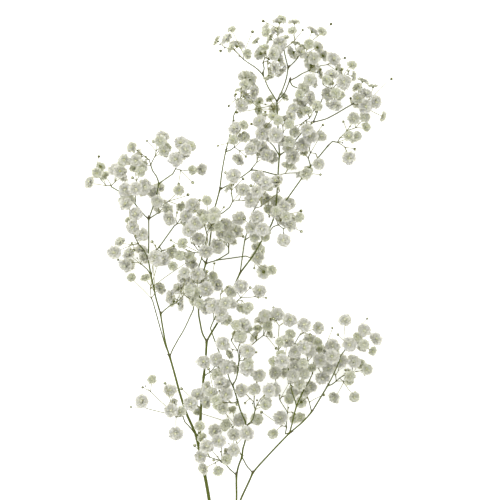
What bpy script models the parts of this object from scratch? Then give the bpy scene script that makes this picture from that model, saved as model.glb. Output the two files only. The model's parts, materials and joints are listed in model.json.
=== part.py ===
"""A cut gypsophila stem, lying on its side, in metres with +Z up.

The picture plane of the spray is the XY plane. The branch axes are drawn by hand as on a paper sheet, in
millimetres: across from the sheet's left edge, down from its top edge, and height over the table. The
blooms of each spray are placed by a rule, forked twigs are grown to them, and all of it is then pushed
clear of its neighbours.
"""

import itertools
import math

import bpy
import numpy as np

MM = 0.001
TINY = 1e-9
NUDGE = 1e-4
SEED = 102

# The sheet that the branches are drawn on, in millimetres
SHEET_CENTRE_ACROSS = 250.0
SHEET_FOOT_DOWN = 500.0

# Where the stem lies on the table: one bloom of each of these sprays is pressed to it, face down
RESTING = ("far_left", "left_foot", "centre_foot", "low_foot", "third_knot", "edge_low", "fan_outer")
REST_HEIGHT = 0.48
REST_DEPTH = 1.9

# Blooms and buds, in millimetres
BLOOM_RADIUS = 5.7
BLOOM_RADIUS_SPREAD = 1.1
BUD_RADIUS = 1.35
BUD_RADIUS_SHARES = (0.85, 1.2)
BUD_LENGTH = 3.4
BUD_SEAT = 0.5
SMALL_BLOOM = 6.0
PETALS_LARGE = 5
PETALS_SMALL = 4

# A bloom's form, as shares of its radius
BLOOM_DEPTH = 0.46
NOTCH_RADIUS = 0.66
NOTCH_SHARES = (0.9, 1.1)
PETAL_REACH = (0.92, 1.0)
PETAL_RISE = (0.42, 0.62)
NOTCH_RISE = (0.5, 0.62)
CROWN_RISE = (0.82, 0.92)

# How far a bloom turns to the front, and along its own stalk
FRONT = (0.85, 0.35)
SIDE = (0.25, 0.95)
FACING_SPREAD = 0.3
LEAST_FACING = 0.45
FACING_STEP = 0.15
RESTING_ALONG = 0.3

# How the blooms of a group find their places
GROUP_INSET = 2.5
LEAST_REACH = 1.0
TRIES = 14
HEIGHT_COUNTS = (1, 1, 0.7)
BUD_HEIGHTS = (-0.5, 0.8)

# Twigs and their joints, in millimetres
HUB_RADIUS = 0.72
TIP_RADIUS = 0.52
TWIG_ROOT = 0.58
JOINT_GAP = 0.3
LEAST_PEDICEL = 4.2
LEAST_INTERNODE = 6.0
CLOSEST_INTERNODE = 4.8
BLOOM_STALK = 1.8

# Where a twig forks, as shares of the way to its blooms
FORK_BEHIND = 6.0
FORK_SPREAD = 1.25
FORK_NEAREST = 0.28
FORK_FURTHEST = 0.72
FORK_LATEST = 0.8
AHEAD_COST = 1.6
FAN_TURNS = 12
LEAST_SIDE = 0.3
ONWARD_SHARE = 0.35

# The room that each thing keeps, in millimetres and as a share of a bloom's radius
CLEARANCE = 0.45
BLOOM_ROOM = 1.02
TWIG_ROOM = 0.72
BRANCH_ROOM = 0.15
BUD_ROOM = 2.4
HUB_ROOM = 1.35
LOWEST_TWIG = 1.6
LOWEST_BLOOM = 0.93
HIGHEST = 84.0

# How the twigs are pushed clear: counts of steps, shares of all steps, and shares of a move
STEPS = 460
PAIRS_EVERY = 12
PAIR_MARGIN = 4.0
LONGEST_STEP = 0.8
PUSH = 1.5
PUSH_EASE = (0.75, 0.75, 1.0)
HOMING = (0.06, 0.06, 0.01)
HOMING_UNTIL = 0.6
STALK_PUSH = 0.5
HOLDER_PUSH = 0.3
LEAST_ONWARD = 0.25
OUTER_TURN = 0.4
MIDDLE_TURN = 0.15
CLOSEST_MATCH = 0.70
FORK_OPENING = 0.25
SHRINK_AFTER = 0.5
CROWDED = 0.25
SHRINK = 0.997
LEAST_SHARE = 0.84

# How a joint of three sides turns to its twigs
HUB_TURNS = 24
HUB_TURN = math.radians(5)
FREE_TWIST = 0.45
TWIST_COST = 9.0

# Tubes of the main stem
TRUNK_SIDES = 8
BRANCH_SIDES = 5
TWIG_SIDES = 3
THICK_RADIUS = 1.2
MIDDLE_RADIUS = 0.65
BRANCH_SUNK = 0.7
TWIG_SUNK = 0.4
START_SWELL = 1.15
END_SWELL = 1.25
TWIG_START = 1.05
TWIG_END = 1.15
STEM_FACES_KEPT = 0.65

STEM_GREEN = (0.060, 0.075, 0.018)
PETAL_WHITE = (0.72, 0.71, 0.64)

# Main axes: name, radius at the start and at the end, points as across, down and height
AXES = (
    ("trunk", 1.75, 1.6, (
        (221, 700, 2.2), (219, 650, 3.2), (216, 590, 5.5), (212.5, 530, 10), (209.5, 500, 12),
        (205, 474, 14), (202, 459, 15.5), (199.5, 448, 16.5), (197.5, 437, 17.5))),
    ("left_axis", 1.3, 1.0, (
        (197.5, 437, 17.5), (193, 426, 18.5), (188, 415, 19.5), (185, 407, 20), (180, 391, 21.5),
        (175.5, 374, 23), (170.5, 356, 24.5))),
    ("left_rise", 0.9, 0.8, (
        (170.5, 356, 24.5), (167, 345, 25.5), (164, 330, 26.5), (161.5, 314, 28))),
    ("left_crown", 0.8, 0.7, (
        (161.5, 314, 28), (157, 298, 30), (154, 284, 31), (152, 275, 31.5), (149.5, 260, 32))),
    ("left_spire", 0.7, 0.6, (
        (149.5, 260, 32), (150, 240, 36), (150, 220, 38))),
    ("left_tip", 0.6, 0.55, (
        (150, 220, 38), (153, 211, 38), (157, 198, 38), (160, 185, 38))),
    ("middle_axis", 1.25, 1.1, (
        (197.5, 437, 17.5), (200, 431, 18), (201, 418, 20), (201.5, 405, 22), (202.5, 390, 23),
        (204, 376, 24), (206, 358, 25), (207, 341, 26.5))),
    ("centre_rise", 0.85, 0.7, (
        (207, 341, 26.5), (203, 333, 26), (200.5, 322, 25.5), (199, 312, 25), (199.5, 300, 25),
        (201, 285, 26), (206, 264, 28), (208, 257, 29), (211, 236, 31.5), (214, 213, 34),
        (217, 202, 35), (220, 191, 36))),
    ("centre_tip", 0.65, 0.55, (
        (220, 191, 36), (222, 175, 38), (224, 163, 39), (226, 153, 40), (230, 137, 42),
        (233, 125, 43))),
    ("centre_arm", 0.6, 0.55, (
        (220, 191, 36), (230, 185, 34), (240, 179, 33), (251, 171, 32))),
    ("right_axis", 0.95, 0.85, (
        (207, 341, 26.5), (213, 330, 27), (219, 320, 28), (226, 305, 29), (232, 290, 30),
        (235, 284, 30.5), (240, 273, 31))),
    ("right_rise", 0.85, 0.75, (
        (240, 273, 31), (243, 269, 30), (254, 254, 27), (262, 240, 26), (271, 225, 25),
        (274, 217, 25))),
    ("upper_axis", 0.75, 0.7, (
        (274, 217, 25), (276, 203, 29), (277, 189, 32), (278, 170, 35), (279, 157, 37))),
    ("upper_rise", 0.7, 0.65, (
        (279, 157, 37), (278.5, 145, 38), (277, 118, 42), (276.5, 104, 44))),
    ("upper_left", 0.6, 0.55, ((276.5, 104, 44), (268, 90, 46), (263, 78, 47))),
    ("upper_middle", 0.6, 0.55, (
        (276.5, 104, 44), (282, 92, 43), (286, 80, 42), (287.5, 71, 42))),
    ("upper_right", 0.6, 0.55, ((276.5, 104, 44), (284, 95, 38), (289, 83, 34))),
    ("fan_arm", 0.65, 0.6, (
        (279, 157, 37), (284, 153, 34.5), (291, 146, 32), (304, 131, 31), (312, 124, 30))),
    ("fan_tip", 0.6, 0.55, ((312, 124, 30), (318, 110, 25), (322, 99, 21))),
    ("outer_arm", 0.7, 0.6, (
        (274, 217, 25), (282, 206, 22), (302, 178, 20), (310, 167, 20), (317, 159, 20),
        (327, 147, 20))),
    ("second_stem", 1.1, 0.95, (
        (216, 590, 5.5), (224, 560, 9.5), (231, 532, 14), (235, 515, 17), (236.5, 500, 19),
        (236.5, 480, 21.5), (236.5, 474, 22))),
    ("second_rise", 0.9, 0.8, (
        (236.5, 474, 22), (239, 463, 24), (242, 455, 25.5), (243, 447, 27), (245, 440, 28),
        (246.5, 425, 30))),
    ("second_crown", 0.75, 0.7, (
        (246.5, 425, 30), (245, 419, 31), (241, 410, 32.5), (238, 400, 34), (236, 393, 35),
        (233, 384, 36.5))),
    ("second_tip", 0.65, 0.55, (
        (233, 384, 36.5), (236, 378, 37), (238, 370, 38), (240, 352, 39))),
    ("third_stem", 1.0, 0.9, (
        (235, 515, 17), (240, 500, 16), (250, 478, 17), (252.5, 472, 17.5))),
    ("third_rise", 0.9, 0.8, ((252.5, 472, 17.5), (270, 452, 19), (289, 432, 21))),
    ("third_left", 0.75, 0.7, (
        (289, 432, 21), (291, 425, 24), (296, 405, 28), (302, 391, 30))),
    ("third_right", 0.8, 0.7, (
        (289, 432, 21), (302, 421, 20), (311, 411, 20), (318, 400, 20), (327, 385, 20))),
)

# Sprays: name, which way its blooms turn, the points of the twig that carries it, the mean height of its
# blooms and how far they go above and below that, its groups of blooms as across, down, reach across,
# reach down and count, and its buds as across and down
SPRAYS = (
    ("shoot_left", FRONT, ((197.5, 437, 17.5), (192, 428, 21), (185, 420, 25)), 32, 9,
     ((154, 378, 0, 0, 1), (143, 399, 0, 0, 1), (171, 388, 0, 0, 1), (173, 406, 5, 5, 2),
      (185, 409, 0, 0, 1), (177, 431, 0, 0, 1)),
     ((146, 385), (133, 402), (161, 383))),
    ("shoot_middle", FRONT, ((200, 431, 18), (199, 422, 27)), 40, 6,
     ((191, 402, 4, 4, 2), (198, 394, 0, 0, 1)), ((187, 386),)),
    ("left_low", FRONT, (
        (170.5, 356, 24.5), (166, 345, 21), (162, 332, 18), (158, 318, 16), (153, 300, 14)), 11, 6,
     ((146, 284, 7, 9, 3), (160, 271, 4, 4, 2)), ((163, 279), (139, 273))),
    ("left_mass", FRONT, ((170.5, 356, 24.5), (178, 340, 29), (184, 330, 32), (194, 309, 36)), 53, 17,
     ((192, 280, 13, 13, 7), (197, 297, 8, 7, 3)), ((204, 271),)),
    ("left_inner", FRONT, ((161.5, 314, 28), (166, 309, 31), (171, 305, 33)), 20, 13,
     ((170, 299, 4, 4, 2), (178, 289, 4, 4, 2), (180, 302, 0, 0, 1), (190, 286, 10, 13, 3)), ()),
    ("left_foot", FRONT, ((152, 275, 31.5), (148, 269, 25)), 13, 7,
     ((143, 254, 6, 8, 3), (127, 265, 4, 4, 2), (132, 251, 0, 0, 1)), ((118, 262),)),
    ("left_fan", FRONT, ((149.5, 260, 32), (145, 250, 34)), 47, 13,
     ((134, 221, 6, 8, 3), (127, 202, 7, 7, 3), (121, 241, 0, 0, 1), (117, 253, 0, 0, 1),
      (144, 235, 3, 3, 2)),
     ((134, 243), (137, 250))),
    ("far_left", FRONT, (
        (150, 220, 38), (146, 216, 36), (136, 204, 32), (127, 193, 28), (119, 191, 25),
        (112, 187, 23)), 19, 13,
     ((101, 171, 8, 9, 3), (119, 173, 8, 8, 3), (90, 182, 0, 0, 1)),
     ((104, 159),)),
    ("left_shoulder", FRONT, ((136, 204, 32), (137, 201, 36)), 48, 11,
     ((143, 190, 5, 4, 3), (127, 190, 4, 4, 2), (139, 170, 7, 5, 3)), ((134, 181),)),
    ("left_peak", FRONT, ((160, 185, 38), (158, 178, 40), (154, 172, 41)), 43, 14,
     ((126, 162, 5, 4, 3), (132, 148, 0, 0, 1), (141, 164, 6, 6, 3), (161, 141, 7, 6, 3),
      (167, 151, 5, 5, 3)),
     ((148, 142), (138, 157))),
    ("left_crest", FRONT, ((160, 185, 38), (168, 179, 42), (174, 175, 44)), 54, 13,
     ((187, 150, 9, 9, 5), (177, 160, 3, 3, 2), (193, 171, 0, 0, 1), (203, 171, 0, 0, 1)),
     ((172, 182), (194, 183))),
    ("left_heart", FRONT, ((150, 220, 38), (155, 216, 33), (158, 214, 31)), 24, 14,
     ((164, 207, 11, 8, 4), (155, 190, 6, 5, 3), (179, 194, 0, 0, 1), (181, 207, 0, 0, 1)),
     ((186, 195),)),
    ("left_bridge", FRONT, ((149.5, 260, 32), (160, 247, 29), (170, 233, 27), (175, 226, 26)), 37, 12,
     ((171, 221, 0, 0, 1), (185, 220, 7, 8, 3), (193, 207, 3, 3, 2)), ((198, 203), (178, 213))),
    ("left_waist", FRONT, ((160, 247, 29), (162, 249, 33.5)), 51, 11,
     ((161, 255, 9, 7, 3), (171, 254, 0, 0, 1), (174, 265, 0, 0, 1)), ((154, 242), (176, 246))),
    ("centre_left", FRONT, ((206, 264, 28), (202, 258, 33)), 47, 13,
     ((190, 231, 4, 4, 2), (199, 238, 4, 4, 2), (182, 243, 0, 0, 1), (181, 255, 4, 4, 2),
      (190, 257, 0, 0, 1), (197, 263, 0, 0, 1)), ((175, 239),)),
    ("centre_mass", FRONT, (
        (201, 285, 26), (198, 273, 33), (201, 262, 39), (205, 250, 44), (207, 240, 47)), 64, 16,
     ((208, 221, 15, 12, 9), (209, 202, 0, 0, 1), (208, 251, 5, 4, 2)), ((197, 212), (221, 208))),
    ("centre_right", FRONT, ((206, 264, 28), (217, 260, 24), (229, 253, 21)), 25, 15,
     ((230, 232, 9, 13, 6), (219, 246, 8, 7, 3), (239, 219, 0, 0, 1)), ((240, 241),)),
    ("centre_foot", FRONT, ((217, 260, 24), (232, 258, 16), (246, 256, 12)), 12, 6,
     ((259, 252, 6, 9, 3), (264, 272, 0, 0, 1), (272, 270, 0, 0, 1)), ((253, 267),)),
    ("centre_fork", FRONT, ((213, 218, 33.4), (222, 214, 41), (230, 208, 46)), 54, 10,
     ((234, 176, 0, 0, 1), (228, 188, 0, 0, 1), (243, 191, 5, 5, 2), (250, 201, 4, 5, 2)),
     ((226, 174), (243, 180))),
    ("centre_low", FRONT, ((199.5, 300, 25), (204, 293, 18)), 13, 7,
     ((212, 286, 8, 6, 3), (202, 275, 0, 0, 1), (213, 277, 0, 0, 1)), ((223, 281),)),
    ("steeple", SIDE, ((233, 125, 43), (234, 117, 43)), 44, 15,
     ((245, 104, 9, 8, 3), (250, 92, 14, 9, 5), (247, 80, 8, 5, 3)), ((236, 97), (232, 110), (257, 112))),
    ("steeple_side", FRONT, ((226, 153, 40), (230, 152, 43)), 52, 11,
     ((244, 139, 0, 0, 1), (250, 152, 0, 0, 1), (238, 161, 0, 0, 1), (233, 141, 0, 0, 1),
      (244, 127, 0, 0, 1), (235, 130, 0, 0, 1)),
     ((246, 158), (219, 152))),
    ("shoulder", FRONT, ((251, 171, 32), (252, 169, 32)), 33, 13,
     ((258, 150, 8, 8, 3), (271, 156, 8, 6, 3)), ()),
    ("shoulder_right", FRONT, (
        (251, 171, 32), (262, 172, 29), (275, 175, 24), (280, 175, 23)), 21, 11,
     ((306, 173, 9, 9, 3), (290, 165, 5, 4, 2)), ((320, 175),)),
    ("right_low", FRONT, ((226, 305, 29), (231, 303, 36)), 50, 10,
     ((242, 285, 0, 0, 1), (259, 290, 0, 0, 1), (231, 291, 0, 0, 1), (246, 306, 8, 5, 3)),
     ((251, 288), (266, 297))),
    ("right_tall", FRONT, (
        (240, 273, 31), (242, 260, 33), (245, 240, 36), (248, 229, 38), (251, 218, 40),
        (252.5, 213, 41)), 50, 14,
     ((266, 184, 11, 9, 5), (257, 198, 6, 7, 3)), ((252, 186), (278, 178))),
    ("right_side", FRONT, ((245, 240, 36), (250, 237, 43)), 62, 14,
     ((258, 233, 12, 9, 6), (257, 219, 0, 0, 1)), ((247, 221),)),
    ("right_mass", FRONT, ((262, 240, 26), (268, 233, 34), (273, 227, 38)), 55, 14,
     ((281, 214, 10, 10, 5), (293, 221, 8, 8, 3), (284, 240, 4, 4, 2)), ((300, 230),)),
    ("right_back", FRONT, ((274, 217, 25), (272, 216, 19)), 16, 12,
     ((272, 202, 13, 11, 7),), ((290, 200),)),
    ("upper_heart", SIDE, ((279, 157, 37), (276, 152, 38.5), (273, 147, 40.5)), 54, 13,
     ((265, 133, 9, 7, 3), (266, 120, 10, 7, 3)), ((252, 126),)),
    ("upper_knot", SIDE, ((278.5, 145, 38), (282, 136, 46)), 65, 14,
     ((284, 122, 12, 10, 4), (282, 141, 11, 8, 3)), ()),
    ("upper_back", SIDE, ((277, 118, 42), (275, 116, 35)), 24, 13,
     ((263, 106, 10, 9, 4), (277, 110, 6, 6, 2)), ((250, 114),)),
    ("top_left", SIDE, ((263, 78, 47), (256, 71, 49), (250, 67, 50)), 50, 12,
     ((231, 51, 0, 0, 1), (238, 46, 0, 0, 1), (217, 43, 0, 0, 1), (226, 42, 0, 0, 1),
      (231, 33, 0, 0, 1), (248, 57, 0, 0, 1)), ((221, 54), (243, 37))),
    ("top_knot", SIDE, ((263, 78, 47), (264, 71, 52)), 58, 15,
     ((274, 75, 11, 11, 5), (276, 58, 9, 9, 3), (259, 59, 0, 0, 1), (264, 52, 0, 0, 1),
      (256, 44, 0, 0, 1)), ((268, 61),)),
    ("top_spire", SIDE, ((287.5, 71, 42), (285, 60, 42)), 40, 15,
     ((285, 27, 14, 11, 5), (269, 35, 9, 9, 3), (281, 44, 10, 7, 3)),
     ((263, 25), (302, 33))),
    ("top_fan", SIDE, ((287.5, 71, 42), (293, 65, 37)), 30, 13,
     ((296, 50, 11, 10, 4), (307, 47, 0, 0, 1), (307, 60, 0, 0, 1), (314, 34, 0, 0, 1),
      (321, 34, 0, 0, 1), (318, 47, 0, 0, 1)), ((327, 27),)),
    ("top_right", SIDE, ((289, 83, 34), (296, 79, 30), (302, 75, 28)), 22, 12,
     ((316, 67, 9, 11, 3), (323, 54, 0, 0, 1), (333, 61, 0, 0, 1), (339, 70, 0, 0, 1)),
     ((342, 59),)),
    ("fan_inner", SIDE, ((289, 83, 34), (292, 88, 40), (296, 90, 43)), 50, 13,
     ((308, 87, 12, 8, 3), (303, 99, 11, 10, 4)), ()),
    ("fan_low", SIDE, ((304, 131, 31), (306, 124, 38)), 50, 13,
     ((298, 115, 13, 9, 4), (298, 132, 10, 7, 3), (316, 108, 4, 4, 2)), ((309, 119),)),
    ("fan_right", SIDE, ((322, 99, 21), (325, 96, 24)), 43, 14,
     ((333, 101, 12, 11, 5), (329, 80, 9, 7, 3), (347, 82, 9, 9, 3), (351, 68, 4, 4, 2)),
     ((341, 72), (320, 72))),
    ("fan_outer", SIDE, (
        (312, 124, 30), (318, 122, 26), (325, 120, 22), (333, 116, 19), (340, 112, 20),
        (345, 109, 23)), 22, 14,
     ((364, 103, 13, 9, 5), (365, 87, 12, 10, 5), (382, 118, 0, 0, 1)), ((380, 90), (350, 99))),
    ("outer_low", FRONT, ((310, 167, 20), (309, 163, 25)), 37, 15,
     ((296, 151, 12, 10, 5), (313, 140, 12, 9, 3), (319, 165, 4, 4, 2)), ((321, 128),)),
    ("outer_tip", FRONT, ((327, 147, 20), (332, 142, 20)), 22, 12,
     ((354, 138, 9, 4, 3), (360, 123, 13, 8, 4), (349, 158, 4, 4, 2)), ((354, 150), (340, 125))),
    ("low_left", FRONT, ((236.5, 474, 22), (230, 467, 28), (226, 462, 32)), 42, 12,
     ((201, 423, 0, 0, 1), (202, 434, 0, 0, 1), (207, 443, 4, 4, 2), (204, 453, 0, 0, 1),
      (203, 466, 0, 0, 1), (219, 438, 4, 4, 2), (230, 453, 4, 4, 2), (220, 467, 0, 0, 1)),
     ((196, 444), (213, 459))),
    ("low_middle", FRONT, ((242, 455, 25.5), (240, 450, 33)), 42, 7,
     ((242, 447, 0, 0, 1), (248, 434, 0, 0, 1), (236, 432, 0, 0, 1)), ((235, 460),)),
    ("high_left", FRONT, (
        (233, 384, 36.5), (230, 378, 38), (226, 366, 40), (221, 354, 42), (217, 344, 43.5),
        (213, 333, 45), (211, 327, 46)), 60, 14,
     ((211, 303, 8, 8, 3), (226, 304, 9, 7, 3), (226, 315, 8, 6, 3)), ((228, 286), (223, 290))),
    ("high_middle", FRONT, ((238, 370, 38), (238, 366, 42)), 56, 12,
     ((241, 322, 9, 7, 3), (238, 334, 6, 5, 3), (224, 342, 0, 0, 1), (229, 353, 0, 0, 1),
      (247, 349, 5, 5, 3), (248, 363, 6, 6, 3)), ((256, 350),)),
    ("high_right", FRONT, ((240, 352, 39), (247, 348, 34)), 28, 14,
     ((253, 331, 8, 8, 3), (266, 319, 11, 8, 4), (270, 331, 0, 0, 1), (276, 314, 4, 4, 2)),
     ((274, 307), (272, 346))),
    ("second_side", FRONT, ((246.5, 425, 30), (250, 421, 27), (253, 418, 25)), 32, 14,
     ((266, 401, 5, 7, 3), (257, 373, 6, 4, 3), (272, 389, 6, 6, 3),
      (255, 387, 0, 0, 1), (242, 388, 4, 4, 2)), ((248, 398),)),
    ("second_left", FRONT, ((238, 400, 34), (234, 401, 38)), 52, 12,
     ((227, 393, 4, 4, 2), (222, 381, 4, 4, 2), (214, 389, 0, 0, 1), (207, 385, 0, 0, 1),
      (206, 400, 0, 0, 1), (220, 401, 5, 4, 3)), ((228, 405), (212, 376))),
    ("low_foot", FRONT, ((252.5, 472, 17.5), (247, 465, 14), (242, 456, 11), (238, 447, 9)), 10, 5,
     ((240, 418, 4, 4, 2), (221, 425, 7, 6, 3), (216, 414, 0, 0, 1), (205, 411, 0, 0, 1),
      (231, 409, 0, 0, 1), (257, 419, 4, 4, 2)), ((227, 417), (236, 437))),
    ("third_heart", FRONT, ((302, 391, 30), (302.5, 389, 32)), 45, 12,
     ((300, 376, 12, 7, 4), (299, 363, 10, 8, 4)), ((291, 384),)),
    ("third_crown", FRONT, ((302, 391, 30), (306, 385, 25)), 22, 14,
     ((313, 345, 10, 9, 5), (328, 350, 9, 9, 4), (315, 362, 10, 7, 3), (318, 377, 4, 4, 2)),
     ((336, 336),)),
    ("third_peak", FRONT, ((296, 405, 28), (291, 388, 34), (289, 374, 37)), 53, 12,
     ((299, 347, 9, 7, 3), (286, 338, 8, 6, 3), (279, 355, 5, 5, 3), (304, 323, 4, 4, 2),
      (317, 327, 0, 0, 1), (290, 319, 6, 4, 2)), ((279, 325), (309, 333))),
    ("third_foot", FRONT, ((289, 432, 21), (285, 433, 16)), 11, 6,
     ((284, 371, 0, 0, 1), (275, 372, 4, 4, 2), (280, 416, 0, 0, 1), (273, 434, 4, 4, 2),
      (290, 395, 6, 5, 3), (297, 418, 4, 4, 2)), ((262, 411), (285, 383))),
    ("third_knot", FRONT, ((311, 411, 20), (310, 406, 16)), 12, 6,
     ((306, 388, 11, 6, 3), (301, 402, 0, 0, 1)), ((324, 397),)),
    ("edge_tall", FRONT, (
        (327, 385, 20), (331, 377, 24), (336, 366, 29), (340, 354, 32)), 43, 12,
     ((352, 340, 9, 9, 3), (343, 319, 0, 0, 1), (363, 330, 4, 4, 2), (361, 343, 4, 4, 2),
      (374, 338, 0, 0, 1), (371, 348, 0, 0, 1)),
     ((367, 319), (361, 325), (340, 333))),
    ("edge_low", FRONT, ((327, 385, 20), (331, 384, 17)), 14, 9,
     ((337, 360, 8, 7, 3), (327, 370, 0, 0, 1), (356, 361, 8, 7, 3), (364, 368, 4, 4, 2),
      (350, 377, 5, 6, 3), (354, 396, 0, 0, 1), (334, 398, 0, 0, 1)), ((345, 370),)),
    ("waist", FRONT, ((204, 376, 24), (207, 373, 27.5)), 42, 9,
     ((204, 361, 0, 0, 1), (216, 358, 0, 0, 1), (217, 373, 4, 4, 2), (229, 364, 9, 7, 3)), ()),
)


def on_sheet(point):
    """A point drawn on the sheet, as millimetres of the model."""
    across, down, height = point
    return np.array([across - SHEET_CENTRE_ACROSS, SHEET_FOOT_DOWN - down, height], float)


def unit(vector):
    length = np.linalg.norm(vector)
    return vector / length if length > TINY else np.array([0.0, 0.0, 1.0])


def across_of(direction):
    """Two directions square to this one and to each other."""
    helper = np.array([0.0, 0.0, 1.0]) if abs(direction[2]) < 0.8 else np.array([1.0, 0.0, 0.0])
    first = unit(np.cross(helper, direction))
    return first, np.cross(direction, first)


class Plant:
    """All points of the twigs: where each is, which it grows from, what it carries and how large that is."""

    def __init__(self):
        self.places = []
        self.parents = []
        self.kinds = []
        self.sizes = []
        self.sprays = []
        self.turns = []
        self.resting = set()

    def add(self, place, parent, kind, size, spray, turn=FRONT):
        self.places.append(np.array(place, float))
        self.parents.append(parent)
        self.kinds.append(kind)
        self.sizes.append(size)
        self.sprays.append(spray)
        self.turns.append(turn)
        return len(self.places) - 1


def step_inside(draws):
    """A step at random, no longer than 1."""
    step = draws.uniform(-1, 1, 3)
    return step / max(1.0, np.linalg.norm(step))


def roomiest(tries, found):
    """The try that is furthest from every place found so far."""
    if not found:
        return tries[0]
    others = np.array([place for place, _, _ in found])
    room = [np.linalg.norm((others - place) * HEIGHT_COUNTS, axis=1).min() for place in tries]
    return tries[int(np.argmax(room))]


def bloom_targets(level, depth, groups, buds, draws):
    """Places, sizes and kinds of what a spray carries: its groups of blooms, then its buds."""
    found = []
    for across, down, reach_across, reach_down, count in groups:
        half_across = max(reach_across - GROUP_INSET, LEAST_REACH)
        half_down = max(reach_down - GROUP_INSET, LEAST_REACH)
        reach = np.array([half_across, half_down, depth])
        middle = on_sheet((across, down, level))
        for _ in range(count):
            tries = [middle + step_inside(draws) * reach for _ in range(TRIES)]
            place = roomiest(tries, found)
            size = BLOOM_RADIUS + BLOOM_RADIUS_SPREAD * draws.uniform(-1, 1)
            found.append((place, size, "bloom"))
    for across, down in buds:
        place = on_sheet((across, down, level + depth * draws.uniform(*BUD_HEIGHTS)))
        found.append((place, BUD_RADIUS * draws.uniform(*BUD_RADIUS_SHARES), "bud"))
    return found


def split_by_angle(origin, targets):
    """Two groups of targets, parted at the widest gap near the middle of their fan."""
    rays = np.array([unit(place - origin) for place, _, _ in targets])
    first, second = across_of(unit(rays.mean(axis=0)))
    best = None
    for turn in range(FAN_TURNS):
        angle = math.pi * turn / FAN_TURNS
        side = math.cos(angle) * first + math.sin(angle) * second
        along = rays @ side
        order = np.argsort(along, kind="stable")
        gaps = np.diff(along[order])
        low = max(0, int(len(targets) * LEAST_SIDE) - 1)
        high = max(low + 1, len(targets) - 1 - low)
        cut = low + int(np.argmax(gaps[low:high]))
        if best is None or gaps[cut] > best[0]:
            best = (gaps[cut], order[: cut + 1], order[cut + 1:])
    return [targets[i] for i in best[1]], [targets[i] for i in best[2]]


def fork_share(reach, spread):
    """How far along the way to its blooms a twig forks: later where they stand close together."""
    share = min(max(1 - FORK_SPREAD * spread / max(reach, TINY), FORK_NEAREST), FORK_FURTHEST)
    if reach * share < LEAST_INTERNODE:
        share = min(LEAST_INTERNODE / max(reach, TINY), FORK_LATEST)
    return share


def parted(here, ahead, targets):
    """The targets of each branch of a fork: one each, or the nearest alone and the rest in two fans."""
    if len(targets) <= 3:
        return [[target] for target in targets]
    costs = [
        np.linalg.norm(place - here) * (AHEAD_COST - unit(place - here) @ ahead) for place, _, _ in targets
    ]
    nearest = int(np.argmin(costs))
    rest = targets[:nearest] + targets[nearest + 1:]
    return [[targets[nearest]], *split_by_angle(here, rest)]


def grow(plant, parent, targets, spray, turn):
    """One twig from this point, which forks until each of its ends carries one bloom or bud."""
    origin = plant.places[parent]
    if len(targets) == 1:
        place, size, kind = targets[0]
        plant.add(place, parent, kind, size, spray, turn)
        return
    places = np.array([place for place, _, _ in targets])
    behind = places - np.array([0.0, 0.0, FORK_BEHIND]) * turn[0]
    goal = behind.mean(axis=0)
    spread = np.linalg.norm(places - places.mean(axis=0), axis=1).mean()
    share = fork_share(np.linalg.norm(goal - origin), spread)
    fork = plant.add(origin + (goal - origin) * share, parent, "fork", HUB_RADIUS, spray, turn)
    for group in parted(plant.places[fork], unit(goal - origin), targets):
        grow(plant, fork, group, spray, turn)


def axes_as_rods():
    """The fixed branches as rods: both ends, the radius, and the name of the branch."""
    rods = []
    for name, first, last, points in AXES:
        places = [on_sheet(point) for point in points]
        for k, (a, b) in enumerate(zip(places, places[1:])):
            share = (k + 0.5) / (len(places) - 1)
            rods.append((a, b, first + (last - first) * share + BRANCH_ROOM, name))
    for name, _, points, *_ in SPRAYS:
        places = [on_sheet(point) for point in points]
        for a, b in zip(places, places[1:]):
            rods.append((a, b, TWIG_ROOT + BRANCH_ROOM, name))
    return rods


def planted():
    """The twigs of every spray as they first grow, before they are pushed clear of each other."""
    plant = Plant()
    for number, (name, turn, points, level, depth, groups, buds) in enumerate(SPRAYS):
        draws = np.random.default_rng((SEED, number))
        targets = bloom_targets(level, depth, groups, buds, draws)
        last, before = on_sheet(points[-1]), on_sheet(points[-2])
        start = last + unit(last - before) * JOINT_GAP
        root = plant.add(start, -1, "root", TWIG_ROOT, name, turn)
        grow(plant, root, targets, name, turn)
        if name in RESTING:
            own = [i for i in range(root, len(plant.places)) if plant.kinds[i] == "bloom"]
            low = min(own, key=lambda i: plant.places[i][2])
            plant.places[low][2] = REST_HEIGHT * plant.sizes[low]
            plant.resting.add(low)
    return plant


def nearest_on_rods(a0, a1, b0, b1):
    """For each pair of rods, the share along each at which they come closest."""
    u, v, w = a1 - a0, b1 - b0, a0 - b0
    uu, uv, vv = (u * u).sum(1), (u * v).sum(1), (v * v).sum(1)
    uw, vw = (u * w).sum(1), (v * w).sum(1)
    spread = uu * vv - uv * uv
    s = np.where(spread > TINY, (uv * vw - vv * uw) / np.maximum(spread, TINY), 0.0).clip(0, 1)
    t = np.where(vv > TINY, (uv * s + vw) / np.maximum(vv, TINY), 0.0).clip(0, 1)
    s = np.where(uu > TINY, (uv * t - uw) / np.maximum(uu, TINY), 0.0).clip(0, 1)
    return s, t


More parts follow.
